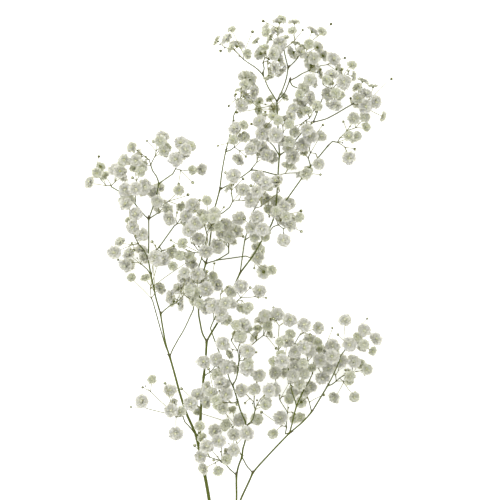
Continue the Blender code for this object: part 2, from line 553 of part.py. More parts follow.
class Bodies:
    """Everything that has to keep clear: blooms as balls, twigs and branches as rods."""

    def __init__(self, plant):
        places = list(plant.places)
        ends, radii, owners = [], [], []
        self.ball_of = {}
        self.shares = np.ones(len(places))
        for i, parent in enumerate(plant.parents):
            if parent >= 0:
                ends.append((parent, i))
                radii.append(TWIG_ROOM)
                owners.append(plant.sprays[i] if plant.kinds[parent] == "root" else "")
        rooms = {"bloom": BLOOM_ROOM * np.array(plant.sizes), "bud": np.full(len(places), BUD_ROOM),
                 "fork": np.full(len(places), HUB_ROOM)}
        for i, kind in enumerate(plant.kinds):
            if kind in rooms:
                if kind == "bloom":
                    self.ball_of[len(ends)] = i
                ends.append((i, i))
                radii.append(rooms[kind][i])
                owners.append("")
        self.moving = len(ends)
        self.before = {}
        for a, b, radius, name in axes_as_rods():
            self.before[name] = len(places)
            ends.append((len(places), len(places) + 1))
            places += [a, b]
            radii.append(radius)
            owners.append(name)
        self.places = np.array(places)
        self.ends = np.array(ends)
        self.radii = np.array(radii)
        self.owners = owners
        self.fixed = np.zeros(len(places), bool)
        self.fixed[len(plant.places):] = True
        self.fixed[[i for i, kind in enumerate(plant.kinds) if kind == "root"]] = True

    def shrink(self, crowded):
        """Blooms that still meet something grow a little less large."""
        for body in set(crowded.tolist()) & self.ball_of.keys():
            point = self.ball_of[body]
            if self.shares[point] > LEAST_SHARE:
                self.shares[point] *= SHRINK
                self.radii[body] *= SHRINK

    def close_pairs(self, margin):
        """Pairs of bodies near enough to meet soon, without those that share a point or a joint."""
        a, b = self.places[self.ends[:, 0]], self.places[self.ends[:, 1]]
        centres, reach = (a + b) / 2, np.linalg.norm(b - a, axis=1) / 2 + self.radii
        first, second = [], []
        for i in range(self.moving):
            others = np.arange(i + 1, len(centres))
            apart = np.linalg.norm(centres[others] - centres[i], axis=1)
            near = others[apart < reach[others] + reach[i] + margin]
            shared = (self.ends[near, :, None] == self.ends[i][None, None, :]).any(axis=(1, 2))
            near = near[~shared]
            if self.owners[i]:
                near = near[[self.owners[j] != self.owners[i] for j in near]]
            first.append(np.full(len(near), i))
            second.append(near)
        return np.concatenate(first), np.concatenate(second)


def no_longer_than(moves, longest):
    """The same moves, those that are too long cut to this length."""
    length = np.linalg.norm(moves, axis=1)
    return moves / np.maximum(length / longest, 1.0)[:, None]


def children_of(plant):
    """The points that each point of the plant carries."""
    children = {i: [] for i in range(len(plant.places))}
    for i, parent in enumerate(plant.parents):
        if parent >= 0:
            children[parent].append(i)
    return children


class Settling:
    """Pushes blooms and twigs apart until nothing meets, mostly in height, and keeps them over the table."""

    def __init__(self, plant):
        self.plant = plant
        self.bodies = Bodies(plant)
        self.places = self.bodies.places
        self.home = self.places.copy()
        self.blooms = np.nonzero(np.array(plant.kinds) == "bloom")[0]
        self.moving = ~self.bodies.fixed
        self.set_heights()
        self.set_stalks()

    def set_heights(self):
        """The lowest and the highest that each point may be. A resting bloom keeps its height."""
        resting = sorted(self.plant.resting)
        self.lowest = np.full(len(self.home), LOWEST_TWIG)
        self.lowest[self.blooms] = np.array(self.plant.sizes)[self.blooms] * LOWEST_BLOOM
        self.highest = np.full(len(self.home), HIGHEST)
        self.lowest[resting] = self.highest[resting] = self.home[resting, 2]

    def set_stalks(self):
        """Which point holds which, the least length of each stalk, and the stalks that follow another."""
        plant = self.plant
        parents = np.array(plant.parents + [-1] * (len(self.home) - len(plant.places)))
        for i, kind in enumerate(plant.kinds):
            if kind == "root":
                parents[i] = self.bodies.before[plant.sprays[i]]
        self.stalked = np.nonzero(parents >= 0)[0]
        self.holders = parents[self.stalked]
        least = {"fork": CLOSEST_INTERNODE, "bud": LEAST_PEDICEL}
        self.least = np.array([
            least.get(plant.kinds[i], plant.sizes[i] + BLOOM_STALK) for i in self.stalked
        ])
        following = parents[self.holders] >= 0
        self.outer, self.middle = self.stalked[following], self.holders[following]
        self.inner = parents[self.middle]
        forks = [carried for carried in children_of(plant).values() if len(carried) > 1]
        pairs = [pair for carried in forks for pair in itertools.combinations(carried, 2)]
        self.one, self.other = np.array(pairs).T
        self.joint = parents[self.one]

    def find_pairs(self):
        self.first, self.second = self.bodies.close_pairs(PAIR_MARGIN)
        self.need = self.bodies.radii[self.first] + self.bodies.radii[self.second] + CLEARANCE

    def push_apart(self, homing):
        """Moves what meets apart, and blooms back to where they grew. Returns how deep each pair meets."""
        p, ends, first, second = self.places, self.bodies.ends, self.first, self.second
        s, t = nearest_on_rods(p[ends[first, 0]], p[ends[first, 1]], p[ends[second, 0]], p[ends[second, 1]])
        a = p[ends[first, 0]] * (1 - s)[:, None] + p[ends[first, 1]] * s[:, None]
        b = p[ends[second, 0]] * (1 - t)[:, None] + p[ends[second, 1]] * t[:, None]
        apart = a - b
        apart[:, 2] += NUDGE * np.where((first + second) % 2, 1, -1)
        length = np.linalg.norm(apart, axis=1)
        deep = self.need - length
        hit = deep > 0
        push = (apart / np.maximum(length, TINY)[:, None] * deep[:, None] * 0.5)[hit]
        moves = np.zeros_like(p)
        counts = np.zeros(len(p))
        for side, share, sign in ((first, s, 1), (second, t, -1)):
            for end, part in ((0, 1 - share), (1, share)):
                index = ends[side[hit], end]
                np.add.at(moves, index, sign * push * part[hit][:, None])
                np.add.at(counts, index, part[hit])
        moves *= PUSH / np.maximum(counts, 1.0)[:, None] * PUSH_EASE
        moves = no_longer_than(moves, LONGEST_STEP)
        if homing:
            moves[self.blooms] += (self.home - p)[self.blooms] * HOMING
        p[self.moving] += moves[self.moving]
        return deep

    def straighten(self):
        """Makes short stalks longer, and turns a twig that runs back on itself onward."""
        p = self.places
        moves = np.zeros_like(p)
        stalk = p[self.stalked] - p[self.holders]
        reach = np.linalg.norm(stalk, axis=1)
        short = np.maximum(self.least - reach, 0)[:, None] * stalk / np.maximum(reach, TINY)[:, None]
        np.add.at(moves, self.stalked, short * STALK_PUSH)
        np.add.at(moves, self.holders, -short * HOLDER_PUSH)
        ahead = p[self.middle] - p[self.inner]
        ahead /= np.maximum(np.linalg.norm(ahead, axis=1), TINY)[:, None]
        onward = p[self.outer] - p[self.middle]
        reach = np.linalg.norm(onward, axis=1)
        back = np.maximum(LEAST_ONWARD - (onward * ahead).sum(1) / np.maximum(reach, TINY), 0)
        turn = ahead * (back * reach)[:, None]
        np.add.at(moves, self.outer, turn * OUTER_TURN)
        np.add.at(moves, self.middle, -turn * MIDDLE_TURN)
        self.open_forks(moves)
        p[self.moving] += no_longer_than(moves, LONGEST_STEP)[self.moving]

    def open_forks(self, moves):
        """Adds the moves that open each fork whose two ways match too closely."""
        one, other = (self.places[ends] - self.places[self.joint] for ends in (self.one, self.other))
        reach_one, reach_other = (np.maximum(np.linalg.norm(v, axis=1), TINY) for v in (one, other))
        one, other = one / reach_one[:, None], other / reach_other[:, None]
        narrow = np.maximum((one * other).sum(1) - CLOSEST_MATCH, 0) * np.minimum(reach_one, reach_other)
        across = one - other
        across /= np.maximum(np.linalg.norm(across, axis=1), TINY)[:, None]
        opening = across * narrow[:, None] * FORK_OPENING
        np.add.at(moves, self.one, opening)
        np.add.at(moves, self.other, -opening)

    def keep_over_table(self):
        heights = self.places[self.moving, 2]
        self.places[self.moving, 2] = np.clip(heights, self.lowest[self.moving], self.highest[self.moving])

    def run(self):
        for step in range(STEPS):
            if step % PAIRS_EVERY == 0:
                self.find_pairs()
            crowded = self.push_apart(step < STEPS * HOMING_UNTIL) > CROWDED
            self.straighten()
            self.keep_over_table()
            if step > STEPS * SHRINK_AFTER:
                self.bodies.shrink(np.concatenate([self.first[crowded], self.second[crowded]]))


def settle(plant):
    """Moves the plant's points clear of each other, and makes crowded blooms smaller."""
    settling = Settling(plant)
    settling.run()
    plant.places = list(settling.places[: len(plant.places)])
    for i in settling.blooms:
        plant.sizes[i] *= settling.bodies.shares[i]


def facing_of(plant, point, came, draws):
    """The way that a bloom or bud looks, at the end of a stalk that comes this way."""
    front, along = plant.turns[point]
    spread = draws.uniform(-FACING_SPREAD, FACING_SPREAD, 3)
    facing = came * along + np.array([0.0, 0.0, front]) + spread
    if point in plant.resting:
        facing = came * RESTING_ALONG - np.array([0.0, 0.0, 1.0])
    facing = unit(facing)
    while facing @ came < LEAST_FACING:
        facing = unit(facing + came * FACING_STEP)
    return facing


class Skin:
    """A closed mesh that grows ring by ring. Each face is painted as stem or as petal."""

    def __init__(self):
        self.points = []
        self.faces = []
        self.paints = []

    def put(self, point):
        self.points.append(point)
        return len(self.points) - 1

    def face(self, corners, paint):
        self.faces.append(corners)
        self.paints.append(paint)

    def ring(self, centre, direction, radius, phase, sides=3):
        first, second = across_of(direction)
        angles = [phase + 2 * math.pi * k / sides for k in range(sides)]
        return [
            self.put(centre + radius * (math.cos(angle) * first + math.sin(angle) * second))
            for angle in angles
        ]

    def ring_after(self, start, centre, direction, radius):
        """A ring of three that follows this one with the least twist."""
        return self.ring(centre, direction, radius, self.phase_after(start, direction))

    def phase_after(self, start, direction):
        """The turn at which a ring square to this direction lines up best with the ring of three before it."""
        first, second = across_of(direction)
        corners = np.array([self.points[corner] for corner in start])
        corners = corners - corners.mean(axis=0)
        turns = 2 * math.pi / 3 * np.arange(3)
        flat = (corners @ first + 1j * (corners @ second)) * np.exp(-1j * turns)
        return float(np.angle(flat.sum()))

    def bridge(self, start, end, paint):
        """Joins two rings of the same count, turned to fit, each side along the diagonal that bulges."""
        sides = len(start)
        a = np.array([self.points[i] for i in start])
        b = np.array([self.points[i] for i in end])
        twists = [((a - np.roll(b, -turn, axis=0)) ** 2).sum() for turn in range(sides)]
        turn = int(np.argmin(twists))
        end = end[turn:] + end[:turn]
        for k in range(sides):
            corners = (start[k], start[(k + 1) % sides], end[(k + 1) % sides], end[k])
            p, q, r, t = (self.points[corner] for corner in corners)
            first = 0 if (t - p) @ np.cross(q - p, r - p) <= 0 else 1
            one, two, three, four = corners[first:] + corners[:first]
            self.face((one, two, three), paint)
            self.face((one, three, four), paint)

    def close(self, ring, tip, paint):
        for k in range(len(ring)):
            self.face((ring[k], ring[(k + 1) % len(ring)], tip), paint)


STEM, PETAL = 0, 1


def add_bloom(skin, start, centre, facing, radius, draws):
    """A rosette whose notched petals flare from the stalk's end and rise to a crown."""
    petals = PETALS_LARGE if radius > SMALL_BLOOM else PETALS_SMALL
    base = centre - facing * BLOOM_DEPTH * radius
    seat = skin.ring_after(start, base, facing, TIP_RADIUS)
    skin.bridge(start, seat, STEM)
    first, second = across_of(facing)
    rim = []
    begin = draws.uniform(0, 2 * math.pi)
    for k in range(2 * petals):
        angle = begin + math.pi * k / petals
        notch = k % 2 == 1
        out = NOTCH_RADIUS * draws.uniform(*NOTCH_SHARES) if notch else draws.uniform(*PETAL_REACH)
        rise = draws.uniform(*NOTCH_RISE) if notch else draws.uniform(*PETAL_RISE)
        side = math.cos(angle) * first + math.sin(angle) * second
        rim.append(skin.put(base + radius * (out * side + rise * facing)))
    seated = skin.phase_after(seat, facing)
    seat_angles = [seated + 2 * math.pi / 3 * k for k in range(3)]
    middle = begin + math.pi / 3
    lead = min(range(3), key=lambda k: abs(math.remainder(seat_angles[k] - middle, 2 * math.pi)))
    seat = seat[lead:] + seat[:lead]
    held = 0
    for k in range(2 * petals):
        n = (k + 1) % (2 * petals)
        skin.face((seat[held % 3], rim[n], rim[k]), PETAL)
        while held < 3 and k + 1 >= round((held + 1) * 2 * petals / 3):
            skin.face((seat[held % 3], seat[(held + 1) % 3], rim[n]), PETAL)
            held += 1
    crown = skin.put(base + facing * radius * draws.uniform(*CROWN_RISE))
    skin.close(rim, crown, PETAL)


def add_bud(skin, start, centre, facing, radius, draws):
    """A closed bud: it swells from its stalk and ends in a point."""
    base = centre - facing * BUD_LENGTH * BUD_SEAT
    seat = skin.ring_after(start, base, facing, TIP_RADIUS * 0.9)
    skin.bridge(start, seat, STEM)
    waist = skin.ring_after(seat, base + facing * BUD_LENGTH * 0.6, facing, radius)
    skin.bridge(seat, waist, PETAL)
    tip = skin.put(base + facing * BUD_LENGTH)
    skin.close(waist, tip, PETAL)


def hub(skin, start, place, ahead, directions):
    """A swollen joint of four points: its base closes the twig, and each other side starts a new twig."""
    bases = place - ahead * HUB_RADIUS * 0.5
    best = None
    first, second = across_of(ahead)
    came_at = skin.phase_after(start, ahead)
    for step in range(HUB_TURNS):
        phase = step * HUB_TURN
        corners = [
            bases + HUB_RADIUS * (math.cos(angle) * first + math.sin(angle) * second)
            for angle in (phase, phase + 2 * math.pi / 3, phase + 4 * math.pi / 3)
        ]
        tip = place + ahead * HUB_RADIUS
        normals = [
            unit(np.cross(corners[(k + 1) % 3] - corners[k], tip - corners[k])) for k in range(3)
        ]
        twist = math.remainder(phase - came_at, 2 * math.pi / 3) / (math.pi / 3)
        for order in itertools.permutations(range(3), len(directions)):
            match = sum(normals[side] @ way for side, way in zip(order, directions))
            match -= TWIST_COST * max(abs(twist) - FREE_TWIST, 0.0) ** 2
            if best is None or match > best[0]:
                best = (match, phase, order)
    _, phase, order = best
    ring = skin.ring(bases, ahead, HUB_RADIUS, phase)
    skin.bridge(start, ring, STEM)
    tip = skin.put(place + ahead * HUB_RADIUS)
    sides = [[ring[k], ring[(k + 1) % 3], tip] for k in range(3)]
    for k in range(3):
        if k not in order:
            skin.face(tuple(sides[k]), STEM)
    return [sides[k] for k in order]


def add_twig(skin, plant, children, point, start, came, draws):
    """What grows on from this point of the plant, whose twig begins at the ring `start`."""
    place, kind = plant.places[point], plant.kinds[point]
    if kind in ("bloom", "bud"):
        facing = facing_of(plant, point, came, draws)
        grower = add_bloom if kind == "bloom" else add_bud
        grower(skin, start, place, facing, plant.sizes[point], draws)
        return
    following = children[point]
    directions = [unit(plant.places[child] - place) for child in following]
    ahead = unit(came * ONWARD_SHARE + sum(directions) / len(directions))
    for child, ring, way in zip(following, hub(skin, start, place, ahead, directions), directions):
        add_twig(skin, plant, children, child, ring, way, draws)


def spray_mesh(plant, name, children, draws):
    root = next(i for i, kind in enumerate(plant.kinds) if kind == "root" and plant.sprays[i] == name)
    skin = Skin()
    child = children[root][0]
    way = unit(plant.places[child] - plant.places[root])
    points = next(spray[2] for spray in SPRAYS if spray[0] == name)
    out = unit(on_sheet(points[-1]) - on_sheet(points[-2]))
    start = skin.ring(plant.places[root], out, TWIG_ROOT, 0.4)
    skin.face(tuple(reversed(start)), STEM)
    add_twig(skin, plant, children, child, start, way, draws)
    return skin


def tube(points, radii, sides):
    """A closed tube through these points, mitred where it bends."""
    skin = Skin()
    places = [on_sheet(point) for point in points]
    rings = []
    for k, place in enumerate(places):
        back = unit(place - places[k - 1]) if k > 0 else None
        on = unit(places[k + 1] - place) if k + 1 < len(places) else None
        way = unit((back if back is not None else on) + (on if on is not None else back))
        rings.append(skin.ring(place, way, radii[k], 0.0, sides))
    skin.face(tuple(reversed(rings[0])), STEM)
    for start, end in zip(rings, rings[1:]):
        skin.bridge(start, end, STEM)
    skin.face(tuple(rings[-1]), STEM)
    return skin


def stretched(points, first, last, free_start, free_end):
    """The same points, run on a little way into the branches that they join."""
    points = [np.array(point, float) for point in points]
    if not free_start:
        points[0] = points[0] - unit(points[1] - points[0]) * first
    if not free_end:
        points[-1] = points[-1] + unit(points[-1] - points[-2]) * last
    return points


def sides_for(radius):
    if radius > THICK_RADIUS:
        return TRUNK_SIDES
    return BRANCH_SIDES if radius > MIDDLE_RADIUS else TWIG_SIDES


def stem_tubes():
    """The tubes of the main stem: its axes, then the twig that carries each spray."""
    tubes = []
    for name, first, last, points in AXES:
        ends = stretched(points, first * BRANCH_SUNK, last * BRANCH_SUNK, name == "trunk", False)
        radii = list(np.linspace(first, last, len(ends)))
        radii[0] *= 1.0 if name == "trunk" else START_SWELL
        radii[-1] *= END_SWELL
        tubes.append(tube(ends, radii, sides_for(first)))
    for _, _, points, *_ in SPRAYS:
        ends = stretched(points, TWIG_ROOT * TWIG_SUNK, 0, False, True)
        radii = [TWIG_ROOT * TWIG_START] * len(ends)
        radii[-1] = TWIG_ROOT * TWIG_END
        tubes.append(tube(ends, radii, TWIG_SIDES))
    return tubes


def object_from(name, skin, shift, materials):
    mesh = bpy.data.meshes.new(name)
    points = [tuple((np.array(point) + shift) * MM) for point in skin.points]
    mesh.from_pydata(points, [], [list(face) for face in skin.faces])
    for material in materials:
        mesh.materials.append(material)
    mesh.polygons.foreach_set("material_index", skin.paints)
    mesh.update()
    made = bpy.data.objects.new(name, mesh)
    bpy.context.scene.collection.objects.link(made)
    return made


def material(name, colour, roughness):
    made = bpy.data.materials.new(name)
    made.use_nodes = True
    shader = made.node_tree.nodes["Principled BSDF"]
    shader.inputs["Base Color"].default_value = (*colour, 1.0)
    shader.inputs["Roughness"].default_value = roughness
    shader.inputs["Metallic"].default_value = 0.0
    return made


def united(name, skins, shift, green):
    """One solid from all of these tubes, by a Boolean union on their collection."""
    whole = object_from(name, skins[0], shift, [green])
    group = bpy.data.collections.new("stem_tubes")
    bpy.context.scene.collection.children.link(group)
    for k, skin in enumerate(skins[1:]):
        piece = object_from(f"tube_{k:03d}", skin, shift, [green])
        bpy.context.scene.collection.objects.unlink(piece)
        group.objects.link(piece)
    union = whole.modifiers.new("union", "BOOLEAN")
    union.operation = "UNION"
    union.solver = "MANIFOLD"
    union.operand_type = "COLLECTION"
    union.collection = group
    bpy.context.view_layer.update()
    graph = bpy.context.evaluated_depsgraph_get()
    joined = bpy.data.meshes.new_from_object(whole.evaluated_get(graph))
    whole.modifiers.clear()
    whole.data = joined
    thinned = whole.modifiers.new("fewer_faces", "DECIMATE")
    thinned.ratio = STEM_FACES_KEPT
    for piece in list(group.objects):
        bpy.data.objects.remove(piece)
    bpy.data.collections.remove(group)
    return whole


def pressed(skin):
    """Petals that reach the table lie flat on it."""
    stems = {corner for face, paint in zip(skin.faces, skin.paints) if paint == STEM for corner in face}
    for corner, point in enumerate(skin.points):
        if point[2] < (0.0 if corner in stems else REST_DEPTH):
            point[2] = 0.0


def main():
    for old in list(bpy.data.objects):
        bpy.data.objects.remove(old)
    plant = planted()
    settle(plant)
    children = children_of(plant)
    skins = {
        spray[0]: spray_mesh(plant, spray[0], children, np.random.default_rng((SEED, number, 1)))
        for number, spray in enumerate(SPRAYS)
    }
    tubes = stem_tubes()
    everything = np.array([point for skin in (*skins.values(), *tubes) for point in skin.points])
    lowest, highest = everything.min(axis=0), everything.max(axis=0)
    middle = (lowest + highest) / 2
    shift = np.array([-middle[0], -middle[1], 0.0])
    green = material("stem_green", STEM_GREEN, 0.55)
    united("main_stem", tubes, shift, green)
    for name, skin in skins.items():
        pressed(skin)
        stem = material(name + "_stalks", STEM_GREEN, 0.6)
        petals = material(name + "_petals", PETAL_WHITE, 0.8)
        object_from(name, skin, shift, [stem, petals])


if __name__ == "__main__":
    main()
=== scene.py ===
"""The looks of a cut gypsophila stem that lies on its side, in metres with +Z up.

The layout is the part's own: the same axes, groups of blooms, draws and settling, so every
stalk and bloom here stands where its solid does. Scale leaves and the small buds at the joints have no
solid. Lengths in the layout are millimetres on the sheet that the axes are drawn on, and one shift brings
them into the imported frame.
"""

import itertools
import json
import math

import bpy
import numpy as np
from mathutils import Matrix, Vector

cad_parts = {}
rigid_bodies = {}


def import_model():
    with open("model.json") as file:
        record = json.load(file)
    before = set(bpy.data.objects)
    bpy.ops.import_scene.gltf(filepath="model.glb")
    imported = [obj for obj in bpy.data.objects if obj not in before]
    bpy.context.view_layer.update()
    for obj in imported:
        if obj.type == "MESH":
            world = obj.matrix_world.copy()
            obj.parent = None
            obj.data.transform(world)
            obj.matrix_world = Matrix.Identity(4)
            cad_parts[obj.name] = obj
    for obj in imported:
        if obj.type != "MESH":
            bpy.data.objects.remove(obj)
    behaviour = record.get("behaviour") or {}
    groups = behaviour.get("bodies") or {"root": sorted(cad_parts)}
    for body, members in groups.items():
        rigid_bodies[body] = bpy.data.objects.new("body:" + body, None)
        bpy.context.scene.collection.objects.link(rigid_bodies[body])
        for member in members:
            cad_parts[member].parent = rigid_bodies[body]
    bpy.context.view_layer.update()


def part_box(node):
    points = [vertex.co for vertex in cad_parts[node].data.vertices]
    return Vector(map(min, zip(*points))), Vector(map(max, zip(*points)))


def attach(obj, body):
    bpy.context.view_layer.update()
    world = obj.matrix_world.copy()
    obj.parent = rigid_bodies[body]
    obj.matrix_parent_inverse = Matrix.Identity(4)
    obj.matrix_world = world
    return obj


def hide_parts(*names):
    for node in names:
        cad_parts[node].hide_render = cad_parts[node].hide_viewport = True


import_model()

# Metres in a millimetre, the least to divide by, the push that parts things in one place, the rise from
# which a way counts as upright, and the seed of all draws
MM = 0.001
TINY = 1e-9
NUDGE = 1e-4
UPRIGHT = 0.8
SEED = 102

# The sheet that the branches are drawn on, in millimetres
SHEET_CENTRE_ACROSS = 250.0
SHEET_FOOT_DOWN = 500.0

# Where the stem lies on the table: one bloom of each of these sprays is pressed to it, face down
RESTING = ("far_left", "left_foot", "centre_foot", "low_foot", "third_knot", "edge_low", "fan_outer")
REST_HEIGHT = 0.48

# Blooms and buds, in millimetres
BLOOM_RADIUS = 5.7
BLOOM_RADIUS_SPREAD = 1.1
BUD_RADIUS = 1.35
BUD_RADIUS_SHARES = (0.85, 1.2)
BUD_LENGTH = 3.4
BUD_SEAT = 0.5
SMALL_BLOOM = 6.0
PETALS_LARGE = 5
PETALS_SMALL = 4

# How far a bloom's base lies behind its middle, as a share of its radius
BLOOM_DEPTH = 0.46

# How far a bloom turns to the front, and along its own stalk
FRONT = (0.85, 0.35)
SIDE = (0.25, 0.95)
FACING_SPREAD = 0.3
LEAST_FACING = 0.45
FACING_STEP = 0.15
RESTING_ALONG = 0.3

# How the blooms of a group find their places
GROUP_INSET = 2.5
LEAST_REACH = 1.0
TRIES = 14
HEIGHT_COUNTS = (1, 1, 0.7)
BUD_HEIGHTS = (-0.5, 0.8)
ONE_BLOOM = (0, 0, 1)

# Twigs and their joints, in millimetres
HUB_RADIUS = 0.72
TWIG_ROOT = 0.58
JOINT_GAP = 0.3
LEAST_PEDICEL = 4.2
LEAST_INTERNODE = 6.0
CLOSEST_INTERNODE = 4.8
BLOOM_STALK = 1.8

# Where a twig forks, as shares of the way to its blooms
FORK_BEHIND = 6.0
FORK_SPREAD = 1.25
FORK_NEAREST = 0.28
FORK_FURTHEST = 0.72
FORK_LATEST = 0.8
AHEAD_COST = 1.6
FAN_TURNS = 12
LEAST_SIDE = 0.3
ONWARD_SHARE = 0.35
MOST_BRANCHES = 3

# The room that each thing keeps, in millimetres and as a share of a bloom's radius
CLEARANCE = 0.45
BLOOM_ROOM = 1.02
TWIG_ROOM = 0.72
BRANCH_ROOM = 0.15
BUD_ROOM = 2.4
HUB_ROOM = 1.35
LOWEST_TWIG = 1.6
LOWEST_BLOOM = 0.93
HIGHEST = 84.0

# How the twigs are pushed clear: counts of steps, shares of all steps, and shares of a move
STEPS = 460
PAIRS_EVERY = 12
PAIR_MARGIN = 4.0
LONGEST_STEP = 0.8
PUSH = 1.5
PUSH_EASE = (0.75, 0.75, 1.0)
HOMING = (0.06, 0.06, 0.01)
HOMING_UNTIL = 0.6
STALK_PUSH = 0.5
HOLDER_PUSH = 0.3
LEAST_ONWARD = 0.25
OUTER_TURN = 0.4
MIDDLE_TURN = 0.15
CLOSEST_MATCH = 0.70
FORK_OPENING = 0.25
SHRINK_AFTER = 0.5
CROWDED = 0.25
SHRINK = 0.997
LEAST_SHARE = 0.84


# Main axes: name, radius at the start and at the end, points as across, down and height
AXES = (
    ("trunk", 1.75, 1.6, (
        (221, 700, 2.2), (219, 650, 3.2), (216, 590, 5.5), (212.5, 530, 10), (209.5, 500, 12),
        (205, 474, 14), (202, 459, 15.5), (199.5, 448, 16.5), (197.5, 437, 17.5))),
    ("left_axis", 1.3, 1.0, (
        (197.5, 437, 17.5), (193, 426, 18.5), (188, 415, 19.5), (185, 407, 20), (180, 391, 21.5),
        (175.5, 374, 23), (170.5, 356, 24.5))),
    ("left_rise", 0.9, 0.8, (
        (170.5, 356, 24.5), (167, 345, 25.5), (164, 330, 26.5), (161.5, 314, 28))),
    ("left_crown", 0.8, 0.7, (
        (161.5, 314, 28), (157, 298, 30), (154, 284, 31), (152, 275, 31.5), (149.5, 260, 32))),
    ("left_spire", 0.7, 0.6, (
        (149.5, 260, 32), (150, 240, 36), (150, 220, 38))),
    ("left_tip", 0.6, 0.55, (
        (150, 220, 38), (153, 211, 38), (157, 198, 38), (160, 185, 38))),
    ("middle_axis", 1.25, 1.1, (
        (197.5, 437, 17.5), (200, 431, 18), (201, 418, 20), (201.5, 405, 22), (202.5, 390, 23),
        (204, 376, 24), (206, 358, 25), (207, 341, 26.5))),
    ("centre_rise", 0.85, 0.7, (
        (207, 341, 26.5), (203, 333, 26), (200.5, 322, 25.5), (199, 312, 25), (199.5, 300, 25),
        (201, 285, 26), (206, 264, 28), (208, 257, 29), (211, 236, 31.5), (214, 213, 34),
        (217, 202, 35), (220, 191, 36))),
    ("centre_tip", 0.65, 0.55, (
        (220, 191, 36), (222, 175, 38), (224, 163, 39), (226, 153, 40), (230, 137, 42),
        (233, 125, 43))),
    ("centre_arm", 0.6, 0.55, (
        (220, 191, 36), (230, 185, 34), (240, 179, 33), (251, 171, 32))),
    ("right_axis", 0.95, 0.85, (
        (207, 341, 26.5), (213, 330, 27), (219, 320, 28), (226, 305, 29), (232, 290, 30),
        (235, 284, 30.5), (240, 273, 31))),
    ("right_rise", 0.85, 0.75, (
        (240, 273, 31), (243, 269, 30), (254, 254, 27), (262, 240, 26), (271, 225, 25),
        (274, 217, 25))),
    ("upper_axis", 0.75, 0.7, (
        (274, 217, 25), (276, 203, 29), (277, 189, 32), (278, 170, 35), (279, 157, 37))),
    ("upper_rise", 0.7, 0.65, (
        (279, 157, 37), (278.5, 145, 38), (277, 118, 42), (276.5, 104, 44))),
    ("upper_left", 0.6, 0.55, ((276.5, 104, 44), (268, 90, 46), (263, 78, 47))),
    ("upper_middle", 0.6, 0.55, (
        (276.5, 104, 44), (282, 92, 43), (286, 80, 42), (287.5, 71, 42))),
    ("upper_right", 0.6, 0.55, ((276.5, 104, 44), (284, 95, 38), (289, 83, 34))),
    ("fan_arm", 0.65, 0.6, (
        (279, 157, 37), (284, 153, 34.5), (291, 146, 32), (304, 131, 31), (312, 124, 30))),
    ("fan_tip", 0.6, 0.55, ((312, 124, 30), (318, 110, 25), (322, 99, 21))),
    ("outer_arm", 0.7, 0.6, (
        (274, 217, 25), (282, 206, 22), (302, 178, 20), (310, 167, 20), (317, 159, 20),
        (327, 147, 20))),
    ("second_stem", 1.1, 0.95, (
        (216, 590, 5.5), (224, 560, 9.5), (231, 532, 14), (235, 515, 17), (236.5, 500, 19),
        (236.5, 480, 21.5), (236.5, 474, 22))),
    ("second_rise", 0.9, 0.8, (
        (236.5, 474, 22), (239, 463, 24), (242, 455, 25.5), (243, 447, 27), (245, 440, 28),
        (246.5, 425, 30))),
    ("second_crown", 0.75, 0.7, (
        (246.5, 425, 30), (245, 419, 31), (241, 410, 32.5), (238, 400, 34), (236, 393, 35),
        (233, 384, 36.5))),
    ("second_tip", 0.65, 0.55, (
        (233, 384, 36.5), (236, 378, 37), (238, 370, 38), (240, 352, 39))),
    ("third_stem", 1.0, 0.9, (
        (235, 515, 17), (240, 500, 16), (250, 478, 17), (252.5, 472, 17.5))),
    ("third_rise", 0.9, 0.8, ((252.5, 472, 17.5), (270, 452, 19), (289, 432, 21))),
    ("third_left", 0.75, 0.7, (
        (289, 432, 21), (291, 425, 24), (296, 405, 28), (302, 391, 30))),
    ("third_right", 0.8, 0.7, (
        (289, 432, 21), (302, 421, 20), (311, 411, 20), (318, 400, 20), (327, 385, 20))),
)

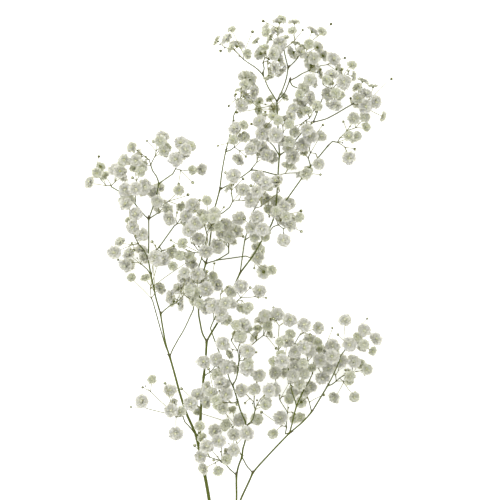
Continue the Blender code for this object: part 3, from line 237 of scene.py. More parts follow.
# Sprays: name, which way its blooms turn, the points of the twig that carries it, the mean height of its
# blooms and how far they go above and below that, its groups of blooms as across, down, reach across,
# reach down and count (one bloom alone as across and down), and its buds as across and down
SPRAYS = (
    ("shoot_left", FRONT, ((197.5, 437, 17.5), (192, 428, 21), (185, 420, 25)), 32, 9,
     ((154, 378), (143, 399), (171, 388), (173, 406, 5, 5, 2),
      (185, 409), (177, 431)),
     ((146, 385), (133, 402), (161, 383))),
    ("shoot_middle", FRONT, ((200, 431, 18), (199, 422, 27)), 40, 6,
     ((191, 402, 4, 4, 2), (198, 394)), ((187, 386),)),
    ("left_low", FRONT, (
        (170.5, 356, 24.5), (166, 345, 21), (162, 332, 18), (158, 318, 16), (153, 300, 14)), 11, 6,
     ((146, 284, 7, 9, 3), (160, 271, 4, 4, 2)), ((163, 279), (139, 273))),
    ("left_mass", FRONT, ((170.5, 356, 24.5), (178, 340, 29), (184, 330, 32), (194, 309, 36)), 53, 17,
     ((192, 280, 13, 13, 7), (197, 297, 8, 7, 3)), ((204, 271),)),
    ("left_inner", FRONT, ((161.5, 314, 28), (166, 309, 31), (171, 305, 33)), 20, 13,
     ((170, 299, 4, 4, 2), (178, 289, 4, 4, 2), (180, 302), (190, 286, 10, 13, 3)), ()),
    ("left_foot", FRONT, ((152, 275, 31.5), (148, 269, 25)), 13, 7,
     ((143, 254, 6, 8, 3), (127, 265, 4, 4, 2), (132, 251)), ((118, 262),)),
    ("left_fan", FRONT, ((149.5, 260, 32), (145, 250, 34)), 47, 13,
     ((134, 221, 6, 8, 3), (127, 202, 7, 7, 3), (121, 241), (117, 253),
      (144, 235, 3, 3, 2)),
     ((134, 243), (137, 250))),
    ("far_left", FRONT, (
        (150, 220, 38), (146, 216, 36), (136, 204, 32), (127, 193, 28), (119, 191, 25),
        (112, 187, 23)), 19, 13,
     ((101, 171, 8, 9, 3), (119, 173, 8, 8, 3), (90, 182)),
     ((104, 159),)),
    ("left_shoulder", FRONT, ((136, 204, 32), (137, 201, 36)), 48, 11,
     ((143, 190, 5, 4, 3), (127, 190, 4, 4, 2), (139, 170, 7, 5, 3)), ((134, 181),)),
    ("left_peak", FRONT, ((160, 185, 38), (158, 178, 40), (154, 172, 41)), 43, 14,
     ((126, 162, 5, 4, 3), (132, 148), (141, 164, 6, 6, 3), (161, 141, 7, 6, 3),
      (167, 151, 5, 5, 3)),
     ((148, 142), (138, 157))),
    ("left_crest", FRONT, ((160, 185, 38), (168, 179, 42), (174, 175, 44)), 54, 13,
     ((187, 150, 9, 9, 5), (177, 160, 3, 3, 2), (193, 171), (203, 171)),
     ((172, 182), (194, 183))),
    ("left_heart", FRONT, ((150, 220, 38), (155, 216, 33), (158, 214, 31)), 24, 14,
     ((164, 207, 11, 8, 4), (155, 190, 6, 5, 3), (179, 194), (181, 207)),
     ((186, 195),)),
    ("left_bridge", FRONT, ((149.5, 260, 32), (160, 247, 29), (170, 233, 27), (175, 226, 26)), 37, 12,
     ((171, 221), (185, 220, 7, 8, 3), (193, 207, 3, 3, 2)), ((198, 203), (178, 213))),
    ("left_waist", FRONT, ((160, 247, 29), (162, 249, 33.5)), 51, 11,
     ((161, 255, 9, 7, 3), (171, 254), (174, 265)), ((154, 242), (176, 246))),
    ("centre_left", FRONT, ((206, 264, 28), (202, 258, 33)), 47, 13,
     ((190, 231, 4, 4, 2), (199, 238, 4, 4, 2), (182, 243), (181, 255, 4, 4, 2),
      (190, 257), (197, 263)), ((175, 239),)),
    ("centre_mass", FRONT, (
        (201, 285, 26), (198, 273, 33), (201, 262, 39), (205, 250, 44), (207, 240, 47)), 64, 16,
     ((208, 221, 15, 12, 9), (209, 202), (208, 251, 5, 4, 2)), ((197, 212), (221, 208))),
    ("centre_right", FRONT, ((206, 264, 28), (217, 260, 24), (229, 253, 21)), 25, 15,
     ((230, 232, 9, 13, 6), (219, 246, 8, 7, 3), (239, 219)), ((240, 241),)),
    ("centre_foot", FRONT, ((217, 260, 24), (232, 258, 16), (246, 256, 12)), 12, 6,
     ((259, 252, 6, 9, 3), (264, 272), (272, 270)), ((253, 267),)),
    ("centre_fork", FRONT, ((213, 218, 33.4), (222, 214, 41), (230, 208, 46)), 54, 10,
     ((234, 176), (228, 188), (243, 191, 5, 5, 2), (250, 201, 4, 5, 2)),
     ((226, 174), (243, 180))),
    ("centre_low", FRONT, ((199.5, 300, 25), (204, 293, 18)), 13, 7,
     ((212, 286, 8, 6, 3), (202, 275), (213, 277)), ((223, 281),)),
    ("steeple", SIDE, ((233, 125, 43), (234, 117, 43)), 44, 15,
     ((245, 104, 9, 8, 3), (250, 92, 14, 9, 5), (247, 80, 8, 5, 3)), ((236, 97), (232, 110), (257, 112))),
    ("steeple_side", FRONT, ((226, 153, 40), (230, 152, 43)), 52, 11,
     ((244, 139), (250, 152), (238, 161), (233, 141),
      (244, 127), (235, 130)),
     ((246, 158), (219, 152))),
    ("shoulder", FRONT, ((251, 171, 32), (252, 169, 32)), 33, 13,
     ((258, 150, 8, 8, 3), (271, 156, 8, 6, 3)), ()),
    ("shoulder_right", FRONT, (
        (251, 171, 32), (262, 172, 29), (275, 175, 24), (280, 175, 23)), 21, 11,
     ((306, 173, 9, 9, 3), (290, 165, 5, 4, 2)), ((320, 175),)),
    ("right_low", FRONT, ((226, 305, 29), (231, 303, 36)), 50, 10,
     ((242, 285), (259, 290), (231, 291), (246, 306, 8, 5, 3)),
     ((251, 288), (266, 297))),
    ("right_tall", FRONT, (
        (240, 273, 31), (242, 260, 33), (245, 240, 36), (248, 229, 38), (251, 218, 40),
        (252.5, 213, 41)), 50, 14,
     ((266, 184, 11, 9, 5), (257, 198, 6, 7, 3)), ((252, 186), (278, 178))),
    ("right_side", FRONT, ((245, 240, 36), (250, 237, 43)), 62, 14,
     ((258, 233, 12, 9, 6), (257, 219)), ((247, 221),)),
    ("right_mass", FRONT, ((262, 240, 26), (268, 233, 34), (273, 227, 38)), 55, 14,
     ((281, 214, 10, 10, 5), (293, 221, 8, 8, 3), (284, 240, 4, 4, 2)), ((300, 230),)),
    ("right_back", FRONT, ((274, 217, 25), (272, 216, 19)), 16, 12,
     ((272, 202, 13, 11, 7),), ((290, 200),)),
    ("upper_heart", SIDE, ((279, 157, 37), (276, 152, 38.5), (273, 147, 40.5)), 54, 13,
     ((265, 133, 9, 7, 3), (266, 120, 10, 7, 3)), ((252, 126),)),
    ("upper_knot", SIDE, ((278.5, 145, 38), (282, 136, 46)), 65, 14,
     ((284, 122, 12, 10, 4), (282, 141, 11, 8, 3)), ()),
    ("upper_back", SIDE, ((277, 118, 42), (275, 116, 35)), 24, 13,
     ((263, 106, 10, 9, 4), (277, 110, 6, 6, 2)), ((250, 114),)),
    ("top_left", SIDE, ((263, 78, 47), (256, 71, 49), (250, 67, 50)), 50, 12,
     ((231, 51), (238, 46), (217, 43), (226, 42),
      (231, 33), (248, 57)), ((221, 54), (243, 37))),
    ("top_knot", SIDE, ((263, 78, 47), (264, 71, 52)), 58, 15,
     ((274, 75, 11, 11, 5), (276, 58, 9, 9, 3), (259, 59), (264, 52),
      (256, 44)), ((268, 61),)),
    ("top_spire", SIDE, ((287.5, 71, 42), (285, 60, 42)), 40, 15,
     ((285, 27, 14, 11, 5), (269, 35, 9, 9, 3), (281, 44, 10, 7, 3)),
     ((263, 25), (302, 33))),
    ("top_fan", SIDE, ((287.5, 71, 42), (293, 65, 37)), 30, 13,
     ((296, 50, 11, 10, 4), (307, 47), (307, 60), (314, 34),
      (321, 34), (318, 47)), ((327, 27),)),
    ("top_right", SIDE, ((289, 83, 34), (296, 79, 30), (302, 75, 28)), 22, 12,
     ((316, 67, 9, 11, 3), (323, 54), (333, 61), (339, 70)),
     ((342, 59),)),
    ("fan_inner", SIDE, ((289, 83, 34), (292, 88, 40), (296, 90, 43)), 50, 13,
     ((308, 87, 12, 8, 3), (303, 99, 11, 10, 4)), ()),
    ("fan_low", SIDE, ((304, 131, 31), (306, 124, 38)), 50, 13,
     ((298, 115, 13, 9, 4), (298, 132, 10, 7, 3), (316, 108, 4, 4, 2)), ((309, 119),)),
    ("fan_right", SIDE, ((322, 99, 21), (325, 96, 24)), 43, 14,
     ((333, 101, 12, 11, 5), (329, 80, 9, 7, 3), (347, 82, 9, 9, 3), (351, 68, 4, 4, 2)),
     ((341, 72), (320, 72))),
    ("fan_outer", SIDE, (
        (312, 124, 30), (318, 122, 26), (325, 120, 22), (333, 116, 19), (340, 112, 20),
        (345, 109, 23)), 22, 14,
     ((364, 103, 13, 9, 5), (365, 87, 12, 10, 5), (382, 118)), ((380, 90), (350, 99))),
    ("outer_low", FRONT, ((310, 167, 20), (309, 163, 25)), 37, 15,
     ((296, 151, 12, 10, 5), (313, 140, 12, 9, 3), (319, 165, 4, 4, 2)), ((321, 128),)),
    ("outer_tip", FRONT, ((327, 147, 20), (332, 142, 20)), 22, 12,
     ((354, 138, 9, 4, 3), (360, 123, 13, 8, 4), (349, 158, 4, 4, 2)), ((354, 150), (340, 125))),
    ("low_left", FRONT, ((236.5, 474, 22), (230, 467, 28), (226, 462, 32)), 42, 12,
     ((201, 423), (202, 434), (207, 443, 4, 4, 2), (204, 453),
      (203, 466), (219, 438, 4, 4, 2), (230, 453, 4, 4, 2), (220, 467)),
     ((196, 444), (213, 459))),
    ("low_middle", FRONT, ((242, 455, 25.5), (240, 450, 33)), 42, 7,
     ((242, 447), (248, 434), (236, 432)), ((235, 460),)),
    ("high_left", FRONT, (
        (233, 384, 36.5), (230, 378, 38), (226, 366, 40), (221, 354, 42), (217, 344, 43.5),
        (213, 333, 45), (211, 327, 46)), 60, 14,
     ((211, 303, 8, 8, 3), (226, 304, 9, 7, 3), (226, 315, 8, 6, 3)), ((228, 286), (223, 290))),
    ("high_middle", FRONT, ((238, 370, 38), (238, 366, 42)), 56, 12,
     ((241, 322, 9, 7, 3), (238, 334, 6, 5, 3), (224, 342), (229, 353),
      (247, 349, 5, 5, 3), (248, 363, 6, 6, 3)), ((256, 350),)),
    ("high_right", FRONT, ((240, 352, 39), (247, 348, 34)), 28, 14,
     ((253, 331, 8, 8, 3), (266, 319, 11, 8, 4), (270, 331), (276, 314, 4, 4, 2)),
     ((274, 307), (272, 346))),
    ("second_side", FRONT, ((246.5, 425, 30), (250, 421, 27), (253, 418, 25)), 32, 14,
     ((266, 401, 5, 7, 3), (257, 373, 6, 4, 3), (272, 389, 6, 6, 3),
      (255, 387), (242, 388, 4, 4, 2)), ((248, 398),)),
    ("second_left", FRONT, ((238, 400, 34), (234, 401, 38)), 52, 12,
     ((227, 393, 4, 4, 2), (222, 381, 4, 4, 2), (214, 389), (207, 385),
      (206, 400), (220, 401, 5, 4, 3)), ((228, 405), (212, 376))),
    ("low_foot", FRONT, ((252.5, 472, 17.5), (247, 465, 14), (242, 456, 11), (238, 447, 9)), 10, 5,
     ((240, 418, 4, 4, 2), (221, 425, 7, 6, 3), (216, 414), (205, 411),
      (231, 409), (257, 419, 4, 4, 2)), ((227, 417), (236, 437))),
    ("third_heart", FRONT, ((302, 391, 30), (302.5, 389, 32)), 45, 12,
     ((300, 376, 12, 7, 4), (299, 363, 10, 8, 4)), ((291, 384),)),
    ("third_crown", FRONT, ((302, 391, 30), (306, 385, 25)), 22, 14,
     ((313, 345, 10, 9, 5), (328, 350, 9, 9, 4), (315, 362, 10, 7, 3), (318, 377, 4, 4, 2)),
     ((336, 336),)),
    ("third_peak", FRONT, ((296, 405, 28), (291, 388, 34), (289, 374, 37)), 53, 12,
     ((299, 347, 9, 7, 3), (286, 338, 8, 6, 3), (279, 355, 5, 5, 3), (304, 323, 4, 4, 2),
      (317, 327), (290, 319, 6, 4, 2)), ((279, 325), (309, 333))),
    ("third_foot", FRONT, ((289, 432, 21), (285, 433, 16)), 11, 6,
     ((284, 371), (275, 372, 4, 4, 2), (280, 416), (273, 434, 4, 4, 2),
      (290, 395, 6, 5, 3), (297, 418, 4, 4, 2)), ((262, 411), (285, 383))),
    ("third_knot", FRONT, ((311, 411, 20), (310, 406, 16)), 12, 6,
     ((306, 388, 11, 6, 3), (301, 402)), ((324, 397),)),
    ("edge_tall", FRONT, (
        (327, 385, 20), (331, 377, 24), (336, 366, 29), (340, 354, 32)), 43, 12,
     ((352, 340, 9, 9, 3), (343, 319), (363, 330, 4, 4, 2), (361, 343, 4, 4, 2),
      (374, 338), (371, 348)),
     ((367, 319), (361, 325), (340, 333))),
    ("edge_low", FRONT, ((327, 385, 20), (331, 384, 17)), 14, 9,
     ((337, 360, 8, 7, 3), (327, 370), (356, 361, 8, 7, 3), (364, 368, 4, 4, 2),
      (350, 377, 5, 6, 3), (354, 396), (334, 398)), ((345, 370),)),
    ("waist", FRONT, ((204, 376, 24), (207, 373, 27.5)), 42, 9,
     ((204, 361), (216, 358), (217, 373, 4, 4, 2), (229, 364, 9, 7, 3)), ()),
)

# How far over the table the sprays' looks stay, in millimetres
FLOOR_GAP = 0.05

# Colours, linear
PETAL_FOOT_COLOUR = (0.56, 0.59, 0.29)
PETAL_MIDDLE_COLOUR = (0.79, 0.80, 0.61)
PETAL_COLOUR = (0.85, 0.845, 0.725)
PETAL_RIM_COLOUR = (0.90, 0.89, 0.81)
YOUNG_CAST = (0.90, 0.93, 0.76)
PETAL_SHADE = (0.84, 0.83, 0.78)
PETAL_VEIN = (0.80, 0.80, 0.68)
STALK_GREEN = (0.148, 0.180, 0.028)
STALK_OLIVE = (0.075, 0.092, 0.012)
STALK_BROWN = (0.095, 0.078, 0.034)
PEDICEL_TAN = (0.29, 0.29, 0.12)
CALYX_GREEN = (0.190, 0.220, 0.045)
CALYX_OLIVE = (0.095, 0.110, 0.022)
BRACT_BROWN = (0.130, 0.098, 0.048)
BRACT_GREEN = (0.085, 0.088, 0.034)
PLAIN_WHITE = (1.0, 1.0, 1.0, 1.0)
FLOOR_WHITE = (0.90, 0.90, 0.90, 1.0)
FLOOR_GLOW = 0.55

# A petal's colours from foot to rim, and the most that each cast, mottle or line counts
PETAL_STOPS = (
    (0.0, PETAL_FOOT_COLOUR), (0.4, PETAL_MIDDLE_COLOUR), (0.7, PETAL_COLOUR), (1.0, PETAL_RIM_COLOUR))
YOUNG_CAST_SHARE = 0.7
PETAL_SHADE_SHARE = 0.4
PETAL_VEIN_SHARE = 0.10
GREEN_DULL_SHARE = 0.6
JOINT_BROWN_SHARE = 0.8

# Surfaces: shader values, a petal's veins, features a metre, and bump heights in metres
PETAL_SURFACE = {"Roughness": 0.8, "Specular IOR Level": 0.25, "Subsurface Weight": 0.5,
                 "Subsurface Radius": (0.9, 0.85, 0.5), "Subsurface Scale": 0.002}
FLOOR_SURFACE = {"Base Color": FLOOR_WHITE, "Roughness": 0.9, "Specular IOR Level": 0.1,
                 "Emission Color": PLAIN_WHITE, "Emission Strength": FLOOR_GLOW}
PETAL_VEINS = 5
NOISE_DETAIL = 3.0
MOTTLE_SCALE = 900.0
SKIN_GRAIN_SCALE = 2600.0
BRACT_NOISE_SCALE = 1500.0
VEIN_HEIGHT = 0.00008
SKIN_GRAIN_HEIGHT = 0.0001
BUMP_STRENGTH = 0.3

# The room, in metres and watts
FLOOR_SIDE = 60.0
CAMERA_HEIGHT = 3.0
CAMERA_REACH = 50.0
AIM_HEIGHT = 0.03
PICTURE_SIDE = 0.5
SENSOR = 36.0
WORLD_STRENGTH = 0.78
LIGHTS = (
    ("key", (-1.2, 1.4, 2.4), 1.9, 40.0),
    ("fill", (1.6, -0.6, 2.2), 2.4, 15.0),
)


def on_sheet(point):
    """A point drawn on the sheet, as millimetres of the model."""
    across, down, height = point
    return np.array([across - SHEET_CENTRE_ACROSS, SHEET_FOOT_DOWN - down, height], float)


def unit(vector):
    """The direction of a vector, or straight up where it has none."""
    length = np.linalg.norm(vector)
    return vector / length if length > TINY else np.array([0.0, 0.0, 1.0])


def across_of(direction):
    """Two directions square to this one and to each other."""
    helper = np.array([0.0, 0.0, 1.0]) if abs(direction[2]) < UPRIGHT else np.array([1.0, 0.0, 0.0])
    first = unit(np.cross(helper, direction))
    return first, np.cross(direction, first)


class Plant:
    """All points of the twigs: where each is, which it grows from, what it carries and how large that is."""

    def __init__(self):
        self.places = []
        self.parents = []
        self.kinds = []
        self.sizes = []
        self.sprays = []
        self.turns = []
        self.resting = set()

    def add(self, place, parent, kind, size, spray, turn=FRONT):
        self.places.append(np.array(place, float))
        self.parents.append(parent)
        self.kinds.append(kind)
        self.sizes.append(size)
        self.sprays.append(spray)
        self.turns.append(turn)
        return len(self.places) - 1


def step_inside(draws):
    """A step at random, no longer than 1."""
    step = draws.uniform(-1, 1, 3)
    return step / max(1.0, np.linalg.norm(step))


def roomiest(tries, found):
    """The try that is furthest from every place found so far."""
    if not found:
        return tries[0]
    others = np.array([place for place, _, _ in found])
    room = [np.linalg.norm((others - place) * HEIGHT_COUNTS, axis=1).min() for place in tries]
    return tries[int(np.argmax(room))]


def bloom_targets(level, depth, groups, buds, draws):
    """Places, sizes and kinds of what a spray carries: its groups of blooms, then its buds."""
    found = []
    for across, down, *extent in groups:
        reach_across, reach_down, count = extent or ONE_BLOOM
        half_across = max(reach_across - GROUP_INSET, LEAST_REACH)
        half_down = max(reach_down - GROUP_INSET, LEAST_REACH)
        reach = np.array([half_across, half_down, depth])
        middle = on_sheet((across, down, level))
        for _ in range(count):
            tries = [middle + step_inside(draws) * reach for _ in range(TRIES)]
            place = roomiest(tries, found)
            size = BLOOM_RADIUS + BLOOM_RADIUS_SPREAD * draws.uniform(-1, 1)
            found.append((place, size, "bloom"))
    for across, down in buds:
        place = on_sheet((across, down, level + depth * draws.uniform(*BUD_HEIGHTS)))
        found.append((place, BUD_RADIUS * draws.uniform(*BUD_RADIUS_SHARES), "bud"))
    return found


def split_by_angle(origin, targets):
    """Two groups of targets, parted at the widest gap near the middle of their fan."""
    rays = np.array([unit(place - origin) for place, _, _ in targets])
    first, second = across_of(unit(rays.mean(axis=0)))
    best = None
    for turn in range(FAN_TURNS):
        angle = math.pi * turn / FAN_TURNS
        side = math.cos(angle) * first + math.sin(angle) * second
        along = rays @ side
        order = np.argsort(along, kind="stable")
        gaps = np.diff(along[order])
        low = max(0, int(len(targets) * LEAST_SIDE) - 1)
        high = max(low + 1, len(targets) - 1 - low)
        cut = low + int(np.argmax(gaps[low:high]))
        if best is None or gaps[cut] > best[0]:
            best = (gaps[cut], order[: cut + 1], order[cut + 1:])
    return [targets[i] for i in best[1]], [targets[i] for i in best[2]]


def fork_share(reach, spread):
    """How far along the way to its blooms a twig forks: later where they stand close together."""
    share = min(max(1 - FORK_SPREAD * spread / max(reach, TINY), FORK_NEAREST), FORK_FURTHEST)
    if reach * share < LEAST_INTERNODE:
        share = min(LEAST_INTERNODE / max(reach, TINY), FORK_LATEST)
    return share


def parted(here, ahead, targets):
    """The targets of each branch of a fork: one each, or the nearest alone and the rest in two fans."""
    if len(targets) <= MOST_BRANCHES:
        return [[target] for target in targets]
    costs = [
        np.linalg.norm(place - here) * (AHEAD_COST - unit(place - here) @ ahead) for place, _, _ in targets
    ]
    nearest = int(np.argmin(costs))
    rest = targets[:nearest] + targets[nearest + 1:]
    return [[targets[nearest]], *split_by_angle(here, rest)]


def grow(plant, parent, targets, spray, turn):
    """One twig from this point, which forks until each of its ends carries one bloom or bud."""
    origin = plant.places[parent]
    if len(targets) == 1:
        place, size, kind = targets[0]
        plant.add(place, parent, kind, size, spray, turn)
        return
    places = np.array([place for place, _, _ in targets])
    behind = places - np.array([0.0, 0.0, FORK_BEHIND]) * turn[0]
    goal = behind.mean(axis=0)
    spread = np.linalg.norm(places - places.mean(axis=0), axis=1).mean()
    share = fork_share(np.linalg.norm(goal - origin), spread)
    fork = plant.add(origin + (goal - origin) * share, parent, "fork", HUB_RADIUS, spray, turn)
    for group in parted(plant.places[fork], unit(goal - origin), targets):
        grow(plant, fork, group, spray, turn)


def axes_as_rods():
    """The fixed branches as rods: both ends, the radius, and the name of the branch."""
    rods = []
    for name, first, last, points in AXES:
        places = [on_sheet(point) for point in points]
        for k, (a, b) in enumerate(zip(places, places[1:])):
            share = (k + 0.5) / (len(places) - 1)
            rods.append((a, b, first + (last - first) * share + BRANCH_ROOM, name))
    for name, _, points, *_ in SPRAYS:
        places = [on_sheet(point) for point in points]
        for a, b in zip(places, places[1:]):
            rods.append((a, b, TWIG_ROOT + BRANCH_ROOM, name))
    return rods


def planted():
    """The twigs of every spray as they first grow, before they are pushed clear of each other."""
    plant = Plant()
    for number, (name, turn, points, level, depth, groups, buds) in enumerate(SPRAYS):
        draws = np.random.default_rng((SEED, number))
        targets = bloom_targets(level, depth, groups, buds, draws)
        last, before = on_sheet(points[-1]), on_sheet(points[-2])
        start = last + unit(last - before) * JOINT_GAP
        root = plant.add(start, -1, "root", TWIG_ROOT, name, turn)
        grow(plant, root, targets, name, turn)
        if name in RESTING:
            own = [i for i in range(root, len(plant.places)) if plant.kinds[i] == "bloom"]
            low = min(own, key=lambda i: plant.places[i][2])
            plant.places[low][2] = REST_HEIGHT * plant.sizes[low]
            plant.resting.add(low)
    return plant


def nearest_on_rods(a0, a1, b0, b1):
    """For each pair of rods, the share along each at which they come closest."""
    u, v, w = a1 - a0, b1 - b0, a0 - b0
    uu, uv, vv = (u * u).sum(1), (u * v).sum(1), (v * v).sum(1)
    uw, vw = (u * w).sum(1), (v * w).sum(1)
    spread = uu * vv - uv * uv
    s = np.where(spread > TINY, (uv * vw - vv * uw) / np.maximum(spread, TINY), 0.0).clip(0, 1)
    t = np.where(vv > TINY, (uv * s + vw) / np.maximum(vv, TINY), 0.0).clip(0, 1)
    s = np.where(uu > TINY, (uv * t - uw) / np.maximum(uu, TINY), 0.0).clip(0, 1)
    return s, t


class Bodies:
    """Everything that has to keep clear: blooms as balls, twigs and branches as rods."""

    def __init__(self, plant):
        self.places = list(plant.places)
        self.ends, self.radii, self.owners = [], [], []
        self.ball_of = {}
        self.before = {}
        self.shares = np.ones(len(self.places))
        self.add_twigs(plant)
        self.add_balls(plant)
        self.moving = len(self.ends)
        self.add_branches()
        self.places, self.ends, self.radii = (np.array(v) for v in (self.places, self.ends, self.radii))
        self.fixed = np.zeros(len(self.places), bool)
        self.fixed[len(plant.places):] = True
        self.fixed[[i for i, kind in enumerate(plant.kinds) if kind == "root"]] = True

    def add(self, ends, radius, owner):
        self.ends.append(ends)
        self.radii.append(radius)
        self.owners.append(owner)

    def add_twigs(self, plant):
        """A rod from each point to the one that it carries. The first of a spray is owned by its twig."""
        for i, parent in enumerate(plant.parents):
            if parent >= 0:
                self.add((parent, i), TWIG_ROOM, plant.sprays[i] if plant.kinds[parent] == "root" else "")

    def add_balls(self, plant):
        """A ball for each bloom, bud and fork. Only the blooms' balls may shrink."""
        for i, (kind, size) in enumerate(zip(plant.kinds, plant.sizes)):
            rooms = {"bloom": BLOOM_ROOM * size, "bud": BUD_ROOM, "fork": HUB_ROOM}
            if kind == "bloom":
                self.ball_of[len(self.ends)] = i
            if kind in rooms:
                self.add((i, i), rooms[kind], "")

    def add_branches(self):
        """The fixed branches, and for each the start of its last rod."""
        for a, b, radius, name in axes_as_rods():
            self.before[name] = len(self.places)
            self.add((len(self.places), len(self.places) + 1), radius, name)
            self.places += [a, b]

    def shrink(self, crowded):
        """Blooms that still meet something grow a little less large."""
        for body in set(crowded.tolist()) & self.ball_of.keys():
            point = self.ball_of[body]
            if self.shares[point] > LEAST_SHARE:
                self.shares[point] *= SHRINK
                self.radii[body] *= SHRINK

    def close_pairs(self, margin):
        """Pairs of bodies near enough to meet soon, without those that share a point or a joint."""
        a, b = self.places[self.ends[:, 0]], self.places[self.ends[:, 1]]
        centres, reach = (a + b) / 2, np.linalg.norm(b - a, axis=1) / 2 + self.radii
        first, second = [], []
        for i in range(self.moving):
            others = np.arange(i + 1, len(centres))
            apart = np.linalg.norm(centres[others] - centres[i], axis=1)
            near = others[apart < reach[others] + reach[i] + margin]
            shared = (self.ends[near, :, None] == self.ends[i][None, None, :]).any(axis=(1, 2))
            near = near[~shared]
            if self.owners[i]:
                near = near[[self.owners[j] != self.owners[i] for j in near]]
            first.append(np.full(len(near), i))
            second.append(near)
        return np.concatenate(first), np.concatenate(second)


def no_longer_than(moves, longest):
    """The same moves, those that are too long cut to this length."""
    length = np.linalg.norm(moves, axis=1)
    return moves / np.maximum(length / longest, 1.0)[:, None]


def children_of(plant):
    """The points that each point of the plant carries."""
    children = {i: [] for i in range(len(plant.places))}
    for i, parent in enumerate(plant.parents):
        if parent >= 0:
            children[parent].append(i)
    return children


class Settling:
    """Pushes blooms and twigs apart until nothing meets, mostly in height, and keeps them over the table."""

    def __init__(self, plant):
        self.plant = plant
        self.bodies = Bodies(plant)
        self.places = self.bodies.places
        self.home = self.places.copy()
        self.blooms = np.nonzero(np.array(plant.kinds) == "bloom")[0]
        self.moving = ~self.bodies.fixed
        self.set_heights()
        self.set_stalks()

    def set_heights(self):
        """The lowest and the highest that each point may be. A resting bloom keeps its height."""
        resting = sorted(self.plant.resting)
        self.lowest = np.full(len(self.home), LOWEST_TWIG)
        self.lowest[self.blooms] = np.array(self.plant.sizes)[self.blooms] * LOWEST_BLOOM
        self.highest = np.full(len(self.home), HIGHEST)
        self.lowest[resting] = self.highest[resting] = self.home[resting, 2]

    def set_stalks(self):
        """Which point holds which, the least length of each stalk, and the stalks that follow another."""
        plant = self.plant
        parents = np.array(plant.parents + [-1] * (len(self.home) - len(plant.places)))
        for i, kind in enumerate(plant.kinds):
            if kind == "root":
                parents[i] = self.bodies.before[plant.sprays[i]]
        self.stalked = np.nonzero(parents >= 0)[0]
        self.holders = parents[self.stalked]
        least = {"fork": CLOSEST_INTERNODE, "bud": LEAST_PEDICEL}
        self.least = np.array([
            least.get(plant.kinds[i], plant.sizes[i] + BLOOM_STALK) for i in self.stalked
        ])
        following = parents[self.holders] >= 0
        self.outer, self.middle = self.stalked[following], self.holders[following]
        self.inner = parents[self.middle]
        forks = [carried for carried in children_of(plant).values() if len(carried) > 1]
        pairs = [pair for carried in forks for pair in itertools.combinations(carried, 2)]
        self.one, self.other = np.array(pairs).T
        self.joint = parents[self.one]

    def find_pairs(self):
        """The pairs of bodies that are near, and how far apart each has to be."""
        self.first, self.second = self.bodies.close_pairs(PAIR_MARGIN)
        self.need = self.bodies.radii[self.first] + self.bodies.radii[self.second] + CLEARANCE

    def push_apart(self, homing):
        """Moves what meets apart, and blooms back to where they grew. Returns how deep each pair meets."""
        p, ends, first, second = self.places, self.bodies.ends, self.first, self.second
        s, t = nearest_on_rods(p[ends[first, 0]], p[ends[first, 1]], p[ends[second, 0]], p[ends[second, 1]])
        a = p[ends[first, 0]] * (1 - s)[:, None] + p[ends[first, 1]] * s[:, None]
        b = p[ends[second, 0]] * (1 - t)[:, None] + p[ends[second, 1]] * t[:, None]
        apart = a - b
        apart[:, 2] += NUDGE * np.where((first + second) % 2, 1, -1)
        length = np.linalg.norm(apart, axis=1)
        deep = self.need - length
        hit = deep > 0
        push = (apart / np.maximum(length, TINY)[:, None] * deep[:, None] * 0.5)[hit]
        moves = np.zeros_like(p)
        counts = np.zeros(len(p))
        for side, share, sign in ((first, s, 1), (second, t, -1)):
            for end, part in ((0, 1 - share), (1, share)):
                index = ends[side[hit], end]
                np.add.at(moves, index, sign * push * part[hit][:, None])
                np.add.at(counts, index, part[hit])
        moves *= PUSH / np.maximum(counts, 1.0)[:, None] * PUSH_EASE
        moves = no_longer_than(moves, LONGEST_STEP)
        if homing:
            moves[self.blooms] += (self.home - p)[self.blooms] * HOMING
        p[self.moving] += moves[self.moving]
        return deep

    def straighten(self):
        """Makes short stalks longer, and turns a twig that runs back on itself onward."""
        p = self.places
        moves = np.zeros_like(p)
        stalk = p[self.stalked] - p[self.holders]
        reach = np.linalg.norm(stalk, axis=1)
        short = np.maximum(self.least - reach, 0)[:, None] * stalk / np.maximum(reach, TINY)[:, None]
        np.add.at(moves, self.stalked, short * STALK_PUSH)
        np.add.at(moves, self.holders, -short * HOLDER_PUSH)
        ahead = p[self.middle] - p[self.inner]
        ahead /= np.maximum(np.linalg.norm(ahead, axis=1), TINY)[:, None]
        onward = p[self.outer] - p[self.middle]
        reach = np.linalg.norm(onward, axis=1)
        back = np.maximum(LEAST_ONWARD - (onward * ahead).sum(1) / np.maximum(reach, TINY), 0)
        turn = ahead * (back * reach)[:, None]
        np.add.at(moves, self.outer, turn * OUTER_TURN)
        np.add.at(moves, self.middle, -turn * MIDDLE_TURN)
        self.open_forks(moves)
        p[self.moving] += no_longer_than(moves, LONGEST_STEP)[self.moving]

    def open_forks(self, moves):
        """Adds the moves that open each fork whose two ways match too closely."""
        one, other = (self.places[ends] - self.places[self.joint] for ends in (self.one, self.other))
        reach_one, reach_other = (np.maximum(np.linalg.norm(v, axis=1), TINY) for v in (one, other))
        one, other = one / reach_one[:, None], other / reach_other[:, None]
        narrow = np.maximum((one * other).sum(1) - CLOSEST_MATCH, 0) * np.minimum(reach_one, reach_other)
        across = one - other
        across /= np.maximum(np.linalg.norm(across, axis=1), TINY)[:, None]
        opening = across * narrow[:, None] * FORK_OPENING
        np.add.at(moves, self.one, opening)
        np.add.at(moves, self.other, -opening)

    def keep_over_table(self):
        """Keeps every moving point between its lowest and its highest."""
        heights = self.places[self.moving, 2]
        self.places[self.moving, 2] = np.clip(heights, self.lowest[self.moving], self.highest[self.moving])

